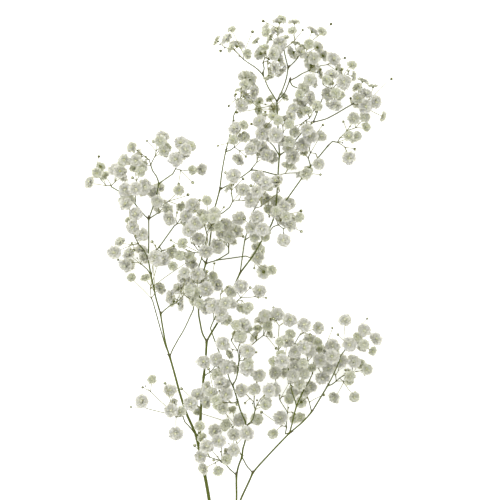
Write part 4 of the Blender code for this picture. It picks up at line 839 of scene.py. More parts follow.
    def run(self):
        """All steps: the earlier ones draw blooms back home, and in the later ones crowded blooms shrink."""
        for step in range(STEPS):
            if step % PAIRS_EVERY == 0:
                self.find_pairs()
            crowded = self.push_apart(step < STEPS * HOMING_UNTIL) > CROWDED
            self.straighten()
            self.keep_over_table()
            if step > STEPS * SHRINK_AFTER:
                self.bodies.shrink(np.concatenate([self.first[crowded], self.second[crowded]]))


def settle(plant):
    """Moves the plant's points clear of each other, and makes crowded blooms smaller."""
    settling = Settling(plant)
    settling.run()
    plant.places = list(settling.places[: len(plant.places)])
    for i in settling.blooms:
        plant.sizes[i] *= settling.bodies.shares[i]


def facing_of(plant, point, came, draws):
    """The way that a bloom or bud looks, at the end of a stalk that comes this way."""
    front, along = plant.turns[point]
    spread = draws.uniform(-FACING_SPREAD, FACING_SPREAD, 3)
    facing = came * along + np.array([0.0, 0.0, front]) + spread
    if point in plant.resting:
        facing = came * RESTING_ALONG - np.array([0.0, 0.0, 1.0])
    facing = unit(facing)
    while facing @ came < LEAST_FACING:
        facing = unit(facing + came * FACING_STEP)
    return facing


# Petals, as shares of the bloom's radius: how many, angle to the bloom's axis at foot and tip, length,
# half width, and how far each goes from the foot's colour to the rim's
OUTER_PETALS = (
    (8, 60, 112, 1.12, 0.38, 1.0),
    (7, 50, 100, 1.08, 0.38, 1.0),
)
INNER_PETALS = (
    (6, 40, 90, 1.02, 0.36, 1.0),
    (5, 30, 80, 0.94, 0.33, 1.0),
    (5, 20, 70, 0.84, 0.28, 0.9),
    (3, 10, 56, 0.74, 0.24, 0.8),
)
PETAL_COLUMNS = np.array([-1.0, -0.5, 0.0, 0.5, 1.0])
TIP_NOTCH = np.array([0.86, 0.98, 0.93, 0.98, 0.86])
PETAL_CURL = 1.3
CURL_STEPS = 24
MIDDLE_OF_PETAL = 0.5
SHARP_ANGLE = math.radians(100)

# How thick a petal is and how far from the bloom's axis it starts, in millimetres
PETAL_THICKNESS = 0.12
PETAL_FOOT = 0.25

# How petals differ: degrees at foot and tip, shares of length and of width, and shares of a ring's step
FOOT_ANGLE_SPREAD = 7
TIP_ANGLE_SPREAD = 20
PETAL_LENGTHS = (0.88, 1.05)
PETAL_WIDTHS = (0.85, 1.12)
PETAL_STEP_SPREAD = 0.28

# How a petal is ruffled: height and number of its waves, its twist and how deep it is cupped
RUFFLE = 0.17
WAVES = (0.9, 1.7)
PETAL_TWIST = 0.6
CUPPED = (-0.06, 0.16)

# A bloom is drawn a little larger than its solid, and small ones are younger and greener
YOUNG_FULLNESS = 1.03
RIPE_FULLNESS = 1.14
YOUNG_RADIUS = 5.0
RIPE_RADIUS = 6.0
AGE_SPREAD = 0.3

# Round forms are given by the heights of their foot, rings and head, and by the radii of their rings. The
# heart's are shares of the bloom's radius, and FURL and RIBS are how far every other side stands out
HEART_SIDES = 6
HEART_HEIGHTS = (0.1, 0.25, 0.44, 0.53, 0.55)
HEART_RADII = (0.14, 0.16, 0.08)
HEART_FURL = 0.2
HEART_AGES = (0.15, 0.5)

# A calyx, in millimetres on a bloom of this radius. Its teeth and gaps are a height and a radius, and its
# neck and depth stay as they are on larger blooms
CALYX_BLOOM = 5.2
CALYX_BELOW = 1.3
CALYX_SIDES = 10
CALYX_HEIGHTS = (-CALYX_BELOW, -CALYX_BELOW * 0.9, -0.7, 0.0)
CALYX_NECK = 0.34
CALYX_RADII = (0.8, 1.2)
CALYX_TEETH = (1.5, 1.75)
CALYX_GAPS = (0.5, 1.4)
CALYX_INSIDE = 0.2

# A bud's calyx and petals, as shares of its length and radius
BUD_SIDES = 10
BUD_CALYX_HEIGHTS = (0.0, 0.08, 0.3, 0.58, 0.8, 0.7)
BUD_CALYX_RADII = (0.4, 0.95, 1.0, 0.7)
BUD_RIBS = 0.07
BUD_BROWN = 0.5
BUD_PETAL_HEIGHTS = (0.3, 0.5, 0.75, 0.88, 0.98)
BUD_PETAL_RADII = (0.5, 0.64, 0.4)
BUD_FURL = 0.16
BUD_FURL_PHASE = 1
BUD_PETAL_TURN = 0.3
BUD_PETAL_AGE = 0.3

# Small buds on short stalks that leave a joint to one side, in millimetres and shares
SIDE_BUD_CHANCE = 0.45
SIDE_BUD_RADIUS = (0.65, 1.0)
SIDE_BUD_REACH = (4.5, 8.0)
SIDE_BUD_TURN = 0.9
SIDE_STALK_START = 0.6
SIDE_STALK_END = 0.8

# Stalks, in millimetres. Those thinner than TAN_BELOW turn tan, and are wholly so TAN_RANGE below it. A
# spray's first stalk starts wider by this share, and sunk this deep into its twig
PEDICEL_RADIUS = 0.25
STALK_GROWTH = 0.085
STALK_SIDES = 6
STALK_STEP = 1.8
LEAVING_BEND = 0.22
COMING_BEND = 0.25
TAN_BELOW = 0.5
TAN_RANGE = 0.2
FIRST_STALK = 1.1
FIRST_STALK_SUNK = 0.6

# How a stalk ends: inside the calyx of a bloom, as a share of its depth, or inside a bud, in millimetres,
# and the share of its radius that is left there
CALYX_GRIP = 0.8
BUD_GRIP = 0.15
BLOOM_STALK_END = 0.9
BUD_STALK_END = 0.85

# Joints, as shares of the stalk's radius, and how brown they are
JOINT_SIDES = 8
JOINT_HEIGHTS = (-2.2, -1.5, -0.4, 0.6, 1.5, 2.1)
JOINT_RADII = (0.75, 1.45, 1.5, 0.8)
JOINT_BROWN = 0.9

# Scale leaves: length and thickness in millimetres, rows of points and their widths, and shares of length
# and width. Those at joints and on the stem have shares of that length and of the radius they sit on
BRACT_LENGTH = 2.1
BRACT_ROWS = np.array([0.0, 0.35, 0.7, 1.0])
BRACT_COLUMNS = np.array([-1.0, 0.0, 1.0])
BRACT_WIDTHS = np.array([0.6, 1.0, 0.6, 0.06])
BRACT_SLIM = 0.24
BRACT_CURL = (0.25, 0.6)
BRACT_HOLLOW = -0.4
BRACT_THICKNESS = 0.16
BRACT_SEAT = 0.8
JOINT_BRACTS = (0.6, 1.15)
JOINT_BRACT_SEAT = 1.3
STEM_BRACTS = (1.2, 2.2)
STEM_BRACT_SEAT = 1.1

# The main stem's tubes, in millimetres and shares. Axes thicker than THICK_AXIS have the most sides
STEM_STEP = 2.2
THICK_AXIS = 1.4
THICK_AXIS_SIDES = 16
BRANCH_SIDES = 10
TWIG_SIDES = 8
TWIG_WIDE = 1.05
TWIG_TAPER = 0.1
START_BEND = 0.35
SAME_PLACE = 0.01
NODE_SWELLING = 0.34
SWELLING_REACH = 0.9

# Which draws are whose: each spray's solid, each spray's looks, and the stem. The solid of a bloom draws
# so many numbers for itself and for each petal
SOLID_DRAWS = 1
LOOK_DRAWS = 2
STEM_DRAWS = 3
BLOOM_NUMBERS = 2
PETAL_NUMBERS = 4

STALK, CALYX, PETALS, BRACTS = range(4)


class Shape:
    """Points, faces, paints and tints of one piece, gathered from many small closed forms."""

    def __init__(self):
        self.points = []
        self.faces = []
        self.paints = []
        self.tints = []
        self.count = 0

    def add(self, points, faces, paint, tints):
        """Faces are lists of corner numbers within these points. A tint is four numbers a point."""
        self.points.append(np.asarray(points, float).reshape(-1, 3))
        for group in faces:
            group = np.asarray(group)
            self.faces.append(group + self.count)
            self.paints.append(np.full(len(group), paint))
        size = len(self.points[-1])
        self.tints.append(np.broadcast_to(np.asarray(tints, float), (size, 4)))
        self.count += size

    def made(self, name, shift, materials):
        """The piece in Blender, shifted in millimetres and then brought to metres."""
        points = (np.concatenate(self.points) + shift) * MM
        loops = np.concatenate([group.ravel() for group in self.faces])
        sizes = np.concatenate([np.full(len(group), group.shape[1]) for group in self.faces])
        mesh = bpy.data.meshes.new(name)
        mesh.vertices.add(len(points))
        mesh.vertices.foreach_set("co", points.ravel())
        mesh.loops.add(len(loops))
        mesh.loops.foreach_set("vertex_index", loops.astype(np.int32))
        mesh.polygons.add(len(sizes))
        mesh.polygons.foreach_set("loop_start", (np.cumsum(sizes) - sizes).astype(np.int32))
        for material in materials:
            mesh.materials.append(material)
        mesh.polygons.foreach_set("material_index", np.concatenate(self.paints).astype(np.int32))
        mesh.update(calc_edges=True)
        mesh.shade_smooth()
        mesh.set_sharp_from_angle(angle=SHARP_ANGLE)
        layer = mesh.color_attributes.new(name="tint", type="FLOAT_COLOR", domain="POINT")
        tints = np.concatenate(self.tints)
        layer.data.foreach_set("color", np.ascontiguousarray(tints, np.float32).ravel())
        return placed(name, mesh)


def placed(name, data):
    """A new object in the scene."""
    made = bpy.data.objects.new(name, data)
    bpy.context.scene.collection.objects.link(made)
    return made


def as_share(value):
    return min(max(value, 0.0), 1.0)


def own_tint(along, across, draws):
    """A tint with two numbers of its own, drawn at random."""
    return along, across, draws.uniform(0, 1), draws.uniform(0, 1)


def sideways_of(way, turn):
    """The direction square to this one, turned about it by this much."""
    first, second = across_of(way)
    return math.cos(turn) * first + math.sin(turn) * second


# Paths and round forms


def curve_through(places, first_way, last_way, step):
    """A smooth path through these places, and how far along the places each of its points is."""
    places = [np.asarray(place, float) for place in places]
    runs = [unit(b - a) for a, b in zip(places, places[1:])]
    ways = [first_way] + [unit(a + b) for a, b in zip(runs, runs[1:])] + [last_way]
    path, shares = [], []
    for k, (a, b) in enumerate(zip(places, places[1:])):
        length = np.linalg.norm(b - a)
        count = max(2, math.ceil(length / step))
        for j in range(count + (k + 2 == len(places))):
            u = j / count
            begin, leave = 2 * u**3 - 3 * u**2 + 1, u**3 - 2 * u**2 + u
            end, arrive = 3 * u**2 - 2 * u**3, u**3 - u**2
            path.append(begin * a + leave * length * ways[k] + end * b + arrive * length * ways[k + 1])
            shares.append((k + u) / (len(places) - 1))
    return np.array(path), np.array(shares)


def round_faces(rings, sides):
    """Faces of a closed round form: walls from ring to ring, and triangles to a point at each end."""
    here = np.arange(sides)
    beside = (here + 1) % sides
    low = (np.arange(rings - 1) * sides)[:, None]
    high = low + sides
    walls = np.stack([low + here, low + beside, high + beside, high + here], axis=-1).reshape(-1, 4)
    top = (rings - 1) * sides
    foot = np.stack([beside, here, np.full(sides, rings * sides)], axis=-1)
    head = np.stack([top + here, top + beside, np.full(sides, rings * sides + 1)], axis=-1)
    return [walls, np.concatenate([foot, head])]


def round_ways(first, second, turns):
    """The ways outwards from an axis at these turns."""
    return np.cos(turns)[:, None] * first + np.sin(turns)[:, None] * second


def tube(path, radii, sides):
    """The points and faces of a closed round tube along a path."""
    ways = np.gradient(path, axis=0)
    ways /= np.maximum(np.linalg.norm(ways, axis=1), TINY)[:, None]
    turns = np.arange(sides) * 2 * math.pi / sides
    first = across_of(ways[0])[0]
    rings = []
    for place, way, radius in zip(path, ways, radii):
        first = unit(first - way * (first @ way))
        rings.append(place + radius * round_ways(first, np.cross(way, first), turns))
    return np.concatenate([*rings, [path[0], path[-1]]]), round_faces(len(rings), sides)


def turned_profile(place, way, heights, radii, sides, phase):
    """A closed round form about an axis, with a point at each end. Rings may vary from side to side."""
    turns = phase + np.arange(sides) * 2 * math.pi / sides
    around = round_ways(*across_of(way), turns)
    rings = []
    for height, radius in zip(heights[1:-1], radii):
        rise = np.broadcast_to(np.asarray(height, float), (sides,))
        out = np.broadcast_to(np.asarray(radius, float), (sides,))
        rings.append(place + out[:, None] * around + rise[:, None] * way)
    ends = [place + heights[0] * way, place + heights[-1] * way]
    return np.concatenate([*rings, ends]), round_faces(len(rings), sides)


def every_other(sides, depth, phase=0):
    """One factor a side, in turn above and below 1."""
    return 1 + depth * np.cos(np.arange(sides) * math.pi + phase)


def ring_radii(shares, size, factors):
    """Radii of a turned form's rings: the lowest is round, and the others vary from side to side."""
    return [shares[0] * size] + [share * size * factors for share in shares[1:]]


# Petals and scale leaves


def blade_faces(rows, columns):
    """Faces of a closed blade: two sheets of rows by columns that share their rim."""
    front = np.arange(rows * columns).reshape(rows, columns)
    back = front.copy()
    inner = (rows - 2) * (columns - 2)
    back[1:-1, 1:-1] = rows * columns + np.arange(inner).reshape(rows - 2, columns - 2)
    faces = []
    for r in range(rows - 1):
        for c in range(columns - 1):
            faces.append((front[r, c], front[r, c + 1], front[r + 1, c + 1], front[r + 1, c]))
            faces.append((back[r, c], back[r + 1, c], back[r + 1, c + 1], back[r, c + 1]))
    return np.array(faces)


def with_back(sheets, rows, columns, thickness):
    """Each sheet of points, and behind it the inner points of its back, a thickness away."""
    grid = sheets.reshape(len(sheets), rows, columns, 3)
    along = grid[:, 2:, 1:-1] - grid[:, :-2, 1:-1]
    across = grid[:, 1:-1, 2:] - grid[:, 1:-1, :-2]
    normal = np.cross(across, along)
    normal /= np.maximum(np.linalg.norm(normal, axis=-1, keepdims=True), TINY)
    grid[:, 1:-1, 1:-1] += normal * thickness / 2
    back = (grid[:, 1:-1, 1:-1] - normal * thickness).reshape(len(sheets), -1, 3)
    return np.concatenate([grid.reshape(len(sheets), -1, 3), back], axis=1)


class PetalGrid:
    """The rows and columns of points of a petal, as shares of its length and of its half width."""

    def __init__(self, rows, widths):
        self.rows, self.columns = len(rows), len(PETAL_COLUMNS)
        rows = np.array(rows)[:, None]
        self.faces = blade_faces(self.rows, self.columns)
        self.along = (rows * (1 + (TIP_NOTCH[None, :] - 1) * rows**2)).ravel()
        self.across = np.tile(PETAL_COLUMNS, self.rows)
        self.width = np.repeat(widths, self.columns)
        inner = np.arange(self.rows * self.columns).reshape(self.rows, self.columns)[1:-1, 1:-1].ravel()
        self.tint_along = np.concatenate([self.along, self.along[inner]])
        self.tint_across = np.concatenate([self.across, self.across[inner]]) * 0.5 + 0.5


LONG_PETAL = PetalGrid((0.0, 0.42, 0.78, 1.0), (0.30, 0.75, 1.0, 0.72))
SHORT_PETAL = PetalGrid((0.0, 0.6, 1.0), (0.34, 0.95, 0.78))
BRACT_FACES = blade_faces(len(BRACT_ROWS), len(BRACT_COLUMNS))
CURL_SHARES = np.linspace(0, 1, CURL_STEPS + 1)


def curled(grid, foot, tip, length):
    """How far out and up each point of each petal's curled middle line lies, and the angle there."""
    angles = foot[:, None] + (tip - foot)[:, None] * CURL_SHARES[None, :] ** PETAL_CURL
    step = CURL_SHARES[1]
    out = np.cumsum(np.sin(angles), axis=1) * step - np.sin(angles[:, :1]) * step
    up = np.cumsum(np.cos(angles), axis=1) * step - np.cos(angles[:, :1]) * step
    out, up, bend = (
        np.array([np.interp(grid.along, CURL_SHARES, row) for row in lines]) for lines in (out, up, angles)
    )
    return out * length[:, None] + PETAL_FOOT, up * length[:, None], bend


def petal_sheets(grid, foot, tip, length, width, azimuth, draws):
    """Curved and ruffled sheets of points, one a petal, round the Z axis."""
    count = len(azimuth)
    out, up, bend = curled(grid, foot, tip, length)
    radial = np.stack([np.cos(azimuth), np.sin(azimuth), np.zeros(count)], axis=-1)[:, None, :]
    around = np.stack([-np.sin(azimuth), np.cos(azimuth), np.zeros(count)], axis=-1)[:, None, :]
    axis = np.array([0.0, 0.0, 1.0])
    normal = -np.cos(bend)[..., None] * radial + np.sin(bend)[..., None] * axis
    twist = draws.uniform(-PETAL_TWIST, PETAL_TWIST, count)[:, None] * grid.along
    side = np.cos(twist)[..., None] * around + np.sin(twist)[..., None] * normal
    waves, begin = draws.uniform(*WAVES, count)[:, None], draws.uniform(0, 2, count)[:, None]
    wave = np.sin(math.pi * (grid.across * waves + begin))
    cup = draws.uniform(*CUPPED, count)[:, None] * grid.across**2 * grid.along
    lift = length[:, None] * (RUFFLE * grid.along**2 * wave + cup)
    places = out[..., None] * radial + up[..., None] * axis
    return places + (grid.across * grid.width * width[:, None])[..., None] * side + lift[..., None] * normal


def add_petals(shape, grid, rings, base, facing, radius, young, draws):
    """Rings of petals of one kind, one ring inside another."""
    turn = np.stack([*across_of(facing), facing])
    for count, start, end, long, wide, ripe in rings:
        foot = np.radians(start + draws.uniform(-FOOT_ANGLE_SPREAD, FOOT_ANGLE_SPREAD, count))
        tip = np.radians(end + draws.uniform(-TIP_ANGLE_SPREAD, TIP_ANGLE_SPREAD, count))
        length = radius * long * draws.uniform(*PETAL_LENGTHS, count)
        width = radius * wide * draws.uniform(*PETAL_WIDTHS, count)
        steps = np.arange(count) + draws.uniform(-PETAL_STEP_SPREAD, PETAL_STEP_SPREAD, count)
        azimuth = draws.uniform(0, 2 * math.pi) + steps * 2 * math.pi / count
        sheets = petal_sheets(grid, foot, tip, length, width, azimuth, draws)
        petals = with_back(sheets, grid.rows, grid.columns, PETAL_THICKNESS)
        size = petals.shape[1]
        faces = (grid.faces[None] + (np.arange(count) * size)[:, None, None]).reshape(-1, 4)
        tints = np.empty((count, size, 4))
        tints[..., 0] = grid.tint_along * ripe
        tints[..., 1] = grid.tint_across
        tints[..., 2] = draws.uniform(0, 1, count)[:, None]
        tints[..., 3] = young
        shape.add(petals.reshape(-1, 3) @ turn + base, [faces], PETALS, tints.reshape(-1, 4))


# Blooms and buds


def add_bloom(shape, base, facing, radius, draws):
    """A double bloom: rings of notched petals that flare out of a small green calyx."""
    young = (RIPE_RADIUS - radius) / (RIPE_RADIUS - YOUNG_RADIUS) + draws.uniform(-AGE_SPREAD, AGE_SPREAD)
    young = as_share(young)
    full = radius * (RIPE_FULLNESS + (YOUNG_FULLNESS - RIPE_FULLNESS) * young)
    for grid, rings in ((LONG_PETAL, OUTER_PETALS), (SHORT_PETAL, INNER_PETALS)):
        add_petals(shape, grid, rings, base, facing, full, young, draws)
    add_heart(shape, base, facing, full, draws)
    add_calyx(shape, base, facing, radius, draws)


def add_heart(shape, base, facing, radius, draws):
    """The small furled petals in the middle of a bloom."""
    heights = np.array(HEART_HEIGHTS) * radius
    radii = ring_radii(HEART_RADII, radius, every_other(HEART_SIDES, HEART_FURL))
    form = turned_profile(base, facing, heights, radii, HEART_SIDES, draws.uniform(0, 1))
    shape.add(*form, PETALS, (draws.uniform(*HEART_AGES), MIDDLE_OF_PETAL, draws.uniform(0, 1), 0.0))


def add_calyx(shape, base, facing, radius, draws):
    """A bell with five pointed teeth that holds the petals."""
    size = radius / CALYX_BLOOM
    teeth = np.arange(CALYX_SIDES) % 2 == 0
    rim, out = (np.where(teeth, tooth, gap) * size for tooth, gap in zip(CALYX_TEETH, CALYX_GAPS))
    heights = (*CALYX_HEIGHTS, rim, CALYX_INSIDE)
    radii = (CALYX_NECK, *(wide * size for wide in CALYX_RADII), out)
    form = turned_profile(base, facing, heights, radii, CALYX_SIDES, draws.uniform(0, 1))
    shape.add(*form, CALYX, own_tint(0.0, 0.0, draws))


def add_bud(shape, base, facing, radius, draws):
    """A closed bud: a green calyx over most of its length, and furled petals that show at the tip."""
    long = BUD_LENGTH * radius / BUD_RADIUS
    phase = draws.uniform(0, 1)
    heights = np.array(BUD_CALYX_HEIGHTS) * long
    radii = ring_radii(BUD_CALYX_RADII, radius, every_other(BUD_SIDES, BUD_RIBS))
    form = turned_profile(base, facing, heights, radii, BUD_SIDES, phase)
    shape.add(*form, CALYX, own_tint(BUD_BROWN, 0.0, draws))
    heights = np.array(BUD_PETAL_HEIGHTS) * long
    radii = ring_radii(BUD_PETAL_RADII, radius, every_other(BUD_SIDES, BUD_FURL, BUD_FURL_PHASE))
    form = turned_profile(base, facing, heights, radii, BUD_SIDES, phase + BUD_PETAL_TURN)
    shape.add(*form, PETALS, (BUD_PETAL_AGE, MIDDLE_OF_PETAL, draws.uniform(0, 1), 1.0))


# Stalks and joints


def add_bract(shape, place, way, outwards, length, radius, draws):
    """A small pointed scale leaf that sits on a joint and curls away from it."""
    along = np.repeat(BRACT_ROWS, len(BRACT_COLUMNS))
    across = np.tile(BRACT_COLUMNS, len(BRACT_ROWS))
    width = np.repeat(BRACT_WIDTHS, len(BRACT_COLUMNS)) * length * BRACT_SLIM
    side = np.cross(way, outwards)
    curl = draws.uniform(*BRACT_CURL)
    forward = (way[None] + outwards[None] * curl * along[:, None]) * (along * length)[:, None]
    hollow = outwards[None] * (across**2 * width * BRACT_HOLLOW)[:, None]
    foot = place + outwards * radius * BRACT_SEAT
    sheet = foot + forward + side[None] * (across * width)[:, None] + hollow
    points = with_back(sheet[None], len(BRACT_ROWS), len(BRACT_COLUMNS), BRACT_THICKNESS)[0]
    shape.add(points, [BRACT_FACES], BRACTS, own_tint(0.5, 0.5, draws))


def add_bract_pair(shape, place, way, lengths, radius, draws):
    """Two scale leaves on opposite sides of a joint, each of its own length."""
    outwards = sideways_of(way, draws.uniform(0, math.pi))
    for sign in (1, -1):
        length = BRACT_LENGTH * draws.uniform(*lengths)
        add_bract(shape, place, way, sign * outwards, length, radius, draws)


def add_joint(shape, place, way, radius, draws):
    """A swollen joint with a pair of scale leaves."""
    heights, radii = np.array(JOINT_HEIGHTS) * radius, np.array(JOINT_RADII) * radius
    form = turned_profile(place, way, heights, radii, JOINT_SIDES, draws.uniform(0, 1))
    shape.add(*form, STALK, own_tint(JOINT_BROWN, 0.0, draws))
    add_bract_pair(shape, place, way, JOINT_BRACTS, radius * JOINT_BRACT_SEAT, draws)


def add_stalk(shape, start, first_way, end, last_way, thick, thin, draws):
    """A thin round stalk that bends a little from the way at its start to the way at its end."""
    straight = unit(end - start)
    leaving = unit(straight + LEAVING_BEND * first_way)
    coming = unit(straight + COMING_BEND * last_way)
    path, shares = curve_through([start, end], leaving, coming, STALK_STEP)
    form = tube(path, thick + (thin - thick) * shares, STALK_SIDES)
    shape.add(*form, STALK, own_tint(0.0, as_share((TAN_BELOW - thin) / TAN_RANGE), draws))


# One spray


class Spray:
    """Walks one spray from its root outwards, as its solid grows, and adds what each point carries."""

    def __init__(self, plant, children, number):
        self.plant = plant
        self.children = children
        self.solid_draws = np.random.default_rng((SEED, number, SOLID_DRAWS))
        self.draws = np.random.default_rng((SEED, number, LOOK_DRAWS))
        self.shape = Shape()

    def loads(self, point):
        """How many blooms and buds this point carries."""
        following = self.children[point]
        return sum(self.loads(child) for child in following) if following else 1

    def thickness(self, point):
        """The radius of the stalk to this point."""
        return PEDICEL_RADIUS + STALK_GROWTH * math.sqrt(self.loads(point))

    def facing_of(self, point, came):
        """Which way a bloom or bud looks, from the same draws as its solid."""
        plant = self.plant
        facing = facing_of(plant, point, came, self.solid_draws)
        if plant.kinds[point] == "bloom":
            petals = PETALS_LARGE if plant.sizes[point] > SMALL_BLOOM else PETALS_SMALL
            self.solid_draws.random(BLOOM_NUMBERS + PETAL_NUMBERS * petals)
        return facing

    def walk(self, point, start, came, first_way, thick):
        """The stalk to this point, and what it carries. `came` is the straight way from the last point."""
        plant, draws = self.plant, self.draws
        place, following = plant.places[point], self.children[point]
        if not following:
            self.add_end(point, start, came, first_way, thick)
            return
        thin = self.thickness(point)
        directions = [unit(plant.places[child] - place) for child in following]
        ahead = unit(came * ONWARD_SHARE + sum(directions) / len(directions))
        add_stalk(self.shape, start, first_way, place, ahead, thick, thin, draws)
        add_joint(self.shape, place, ahead, thin, draws)
        if draws.random() < SIDE_BUD_CHANCE:
            self.add_side_bud(place, ahead, thin)
        for child, way in zip(following, directions):
            self.walk(child, place, way, ahead, self.thickness(child))

    def add_end(self, point, start, came, first_way, thick):
        """The last stalk, and the bloom or bud on it."""
        place, size = self.plant.places[point], self.plant.sizes[point]
        facing, thin = self.facing_of(point, came), self.thickness(point)
        if self.plant.kinds[point] == "bloom":
            base = place - facing * BLOOM_DEPTH * size
            end, thin, add = base - facing * CALYX_BELOW * CALYX_GRIP, thin * BLOOM_STALK_END, add_bloom
        else:
            base = place - facing * BUD_LENGTH * BUD_SEAT
            end, thin, add = base + facing * BUD_GRIP, thin * BUD_STALK_END, add_bud
        add_stalk(self.shape, start, first_way, end, facing, thick, thin, self.draws)
        add(self.shape, base, facing, size, self.draws)

    def add_side_bud(self, place, ahead, thin):
        """A small bud on its own short stalk, which leaves a joint to one side."""
        draws = self.draws
        way = unit(ahead + SIDE_BUD_TURN * sideways_of(ahead, draws.uniform(0, 2 * math.pi)))
        base = place + way * draws.uniform(*SIDE_BUD_REACH)
        thick, end = thin * SIDE_STALK_START, PEDICEL_RADIUS * SIDE_STALK_END
        add_stalk(self.shape, place, way, base, way, thick, end, draws)
        add_bud(self.shape, base, way, draws.uniform(*SIDE_BUD_RADIUS), draws)


def spray_shape(plant, children, number, name, points):
    """One spray, whose first stalk starts inside the twig that carries it."""
    spray = Spray(plant, children, number)
    root = next(i for i, kind in enumerate(plant.kinds) if kind == "root" and plant.sprays[i] == name)
    child = children[root][0]
    way = unit(plant.places[child] - plant.places[root])
    out = unit(on_sheet(points[-1]) - on_sheet(points[-2]))
    thick = min(spray.thickness(child) * FIRST_STALK, TWIG_ROOT)
    spray.walk(child, plant.places[root] - out * FIRST_STALK_SUNK, way, out, thick)
    for group in spray.shape.points:
        group[:, 2] = np.maximum(group[:, 2], FLOOR_GAP)
    return spray.shape


# The main stem


def junctions():
    """The places where a branch leaves another."""
    return np.array([on_sheet(points[0]) for _, _, _, points in AXES[1:]]
                    + [on_sheet(points[0]) for _, _, points, *_ in SPRAYS])


def way_at_start(places, others):
    """The way a branch sets off: its own, and a little of the branch that it grows out of."""
    own = unit(places[1] - places[0])
    for path in others:
        for k, place in enumerate(path):
            if k > 0 and np.linalg.norm(place - places[0]) < SAME_PLACE:
                return unit(own + START_BEND * unit(place - path[k - 1]))
    return own


def swollen(path, radii, joints):
    """Radii that swell where the path passes a joint."""
    apart = np.linalg.norm(path[:, None] - joints[None], axis=2).min(axis=1)
    return radii * (1 + NODE_SWELLING * np.exp(-((apart / (SWELLING_REACH + radii)) ** 2)))


def stem_tubes(paths, joints):
    """Every axis and carrying twig as a smooth round tube, each sunk into the one that it grows from."""
    for (_, first, last, _), places in zip(AXES, paths):
        path, shares = branch_path(places, paths)
        radii = swollen(path, first + (last - first) * shares, joints)
        yield tube(path, radii, THICK_AXIS_SIDES if first > THICK_AXIS else BRANCH_SIDES)
    for _, _, points, *_ in SPRAYS:
        path, shares = branch_path([on_sheet(point) for point in points], paths)
        radii = swollen(path, TWIG_ROOT * (TWIG_WIDE - TWIG_TAPER * shares), joints)
        yield tube(path, radii, TWIG_SIDES)


def branch_path(places, paths):
    """The smooth path of a branch, and how far along it each point is."""
    return curve_through(places, way_at_start(places, paths), unit(places[-1] - places[-2]), STEM_STEP)


def stem_shape(draws):
    """The axes and carrying twigs, with scale leaves at their joints."""
    joints = junctions()
    paths = [[on_sheet(point) for point in points] for _, _, _, points in AXES]
    shape = Shape()
    for form in stem_tubes(paths, joints):
        shape.add(*form, STALK, own_tint(0.0, 0.0, draws))
    for joint in joints:
        add_stem_bracts(shape, joint, paths, draws)
    return shape


def add_stem_bracts(shape, joint, paths, draws):
    """A pair of narrow scale leaves where a branch leaves an axis, on the way or at its end."""
    for path, (_, first, _, _) in zip(paths, AXES):
        for k, place in enumerate(path):
            if k > 0 and np.linalg.norm(place - joint) < SAME_PLACE:
                way = unit(place - path[k - 1])
                add_bract_pair(shape, place, way, STEM_BRACTS, first * STEM_BRACT_SEAT, draws)
                return


# Materials


def shader_of(name, values):
    """A new material, its node tree, and its shader with these values on its own sockets."""
    made = bpy.data.materials.new(name)
    made.use_nodes = True
    shader = made.node_tree.nodes["Principled BSDF"]
    for key, value in values.items():
        shader.inputs[key].default_value = value
    return made, made.node_tree, shader


def node(tree, kind, **values):
    made = tree.nodes.new(kind)
    for key, value in values.items():
        setattr(made, key, value)
    return made


def tint_channels(tree):
    """The four numbers of the tint: along, across, one at random a form, and one at random a bloom."""
    tint = node(tree, "ShaderNodeAttribute", attribute_name="tint")
    parts = node(tree, "ShaderNodeSeparateColor")
    tree.links.new(tint.outputs["Color"], parts.inputs["Color"])
    return parts.outputs["Red"], parts.outputs["Green"], parts.outputs["Blue"], tint.outputs["Alpha"]


def noise(tree, scale):
    """Noise in object space. The scale is in features a metre."""
    place = node(tree, "ShaderNodeTexCoord")
    made = node(tree, "ShaderNodeTexNoise")
    made.inputs["Scale"].default_value = scale
    made.inputs["Detail"].default_value = NOISE_DETAIL
    tree.links.new(place.outputs["Object"], made.inputs["Vector"])
    return made.outputs["Fac"]


def ramp(tree, source, stops):
    """Colours along a source from 0 to 1."""
    made = node(tree, "ShaderNodeValToRGB")
    steps = made.color_ramp.elements
    while len(steps) < len(stops):
        steps.new(0.5)
    for step, (place, colour) in zip(steps, stops):
        step.position = place
        step.color = (*colour, 1.0)
    tree.links.new(source, made.inputs["Fac"])
    return made.outputs["Color"]


def mixed(tree, share, first, second, how="MIX"):
    """Two colours mixed. Each of the three may be a socket or a value."""
    made = node(tree, "ShaderNodeMix", data_type="RGBA", blend_type=how)
    for socket, value in ((made.inputs[0], share), (made.inputs[6], first), (made.inputs[7], second)):
        if isinstance(value, bpy.types.NodeSocket):
            tree.links.new(value, socket)
        elif isinstance(value, tuple):
            socket.default_value = (*value, 1.0)
        else:
            socket.default_value = value
    return made.outputs[2]


def scaled(tree, source, low, high, source_low=0.0):
    """A source that runs up to 1, from 0 or from source_low, spread from low to high."""
    made = node(tree, "ShaderNodeMapRange")
    made.inputs["From Min"].default_value = source_low
    made.inputs["To Min"].default_value = low
    made.inputs["To Max"].default_value = high
    tree.links.new(source, made.inputs["Value"])
    return made.outputs["Result"]


def bumped(tree, shader, source, height):
    made = node(tree, "ShaderNodeBump")
    made.inputs["Strength"].default_value = BUMP_STRENGTH
    made.inputs["Distance"].default_value = height
    tree.links.new(source, made.inputs["Height"])
    tree.links.new(made.outputs["Normal"], shader.inputs["Normal"])


def veins(tree, across, count):
    """Fine lines along a petal."""
    spread = node(tree, "ShaderNodeMath", operation="MULTIPLY")
    spread.inputs[1].default_value = count * 2 * math.pi
    tree.links.new(across, spread.inputs[0])
    wave = node(tree, "ShaderNodeMath", operation="SINE")
    tree.links.new(spread.outputs[0], wave.inputs[0])
    return scaled(tree, wave.outputs[0], 0.0, 1.0, -1.0)


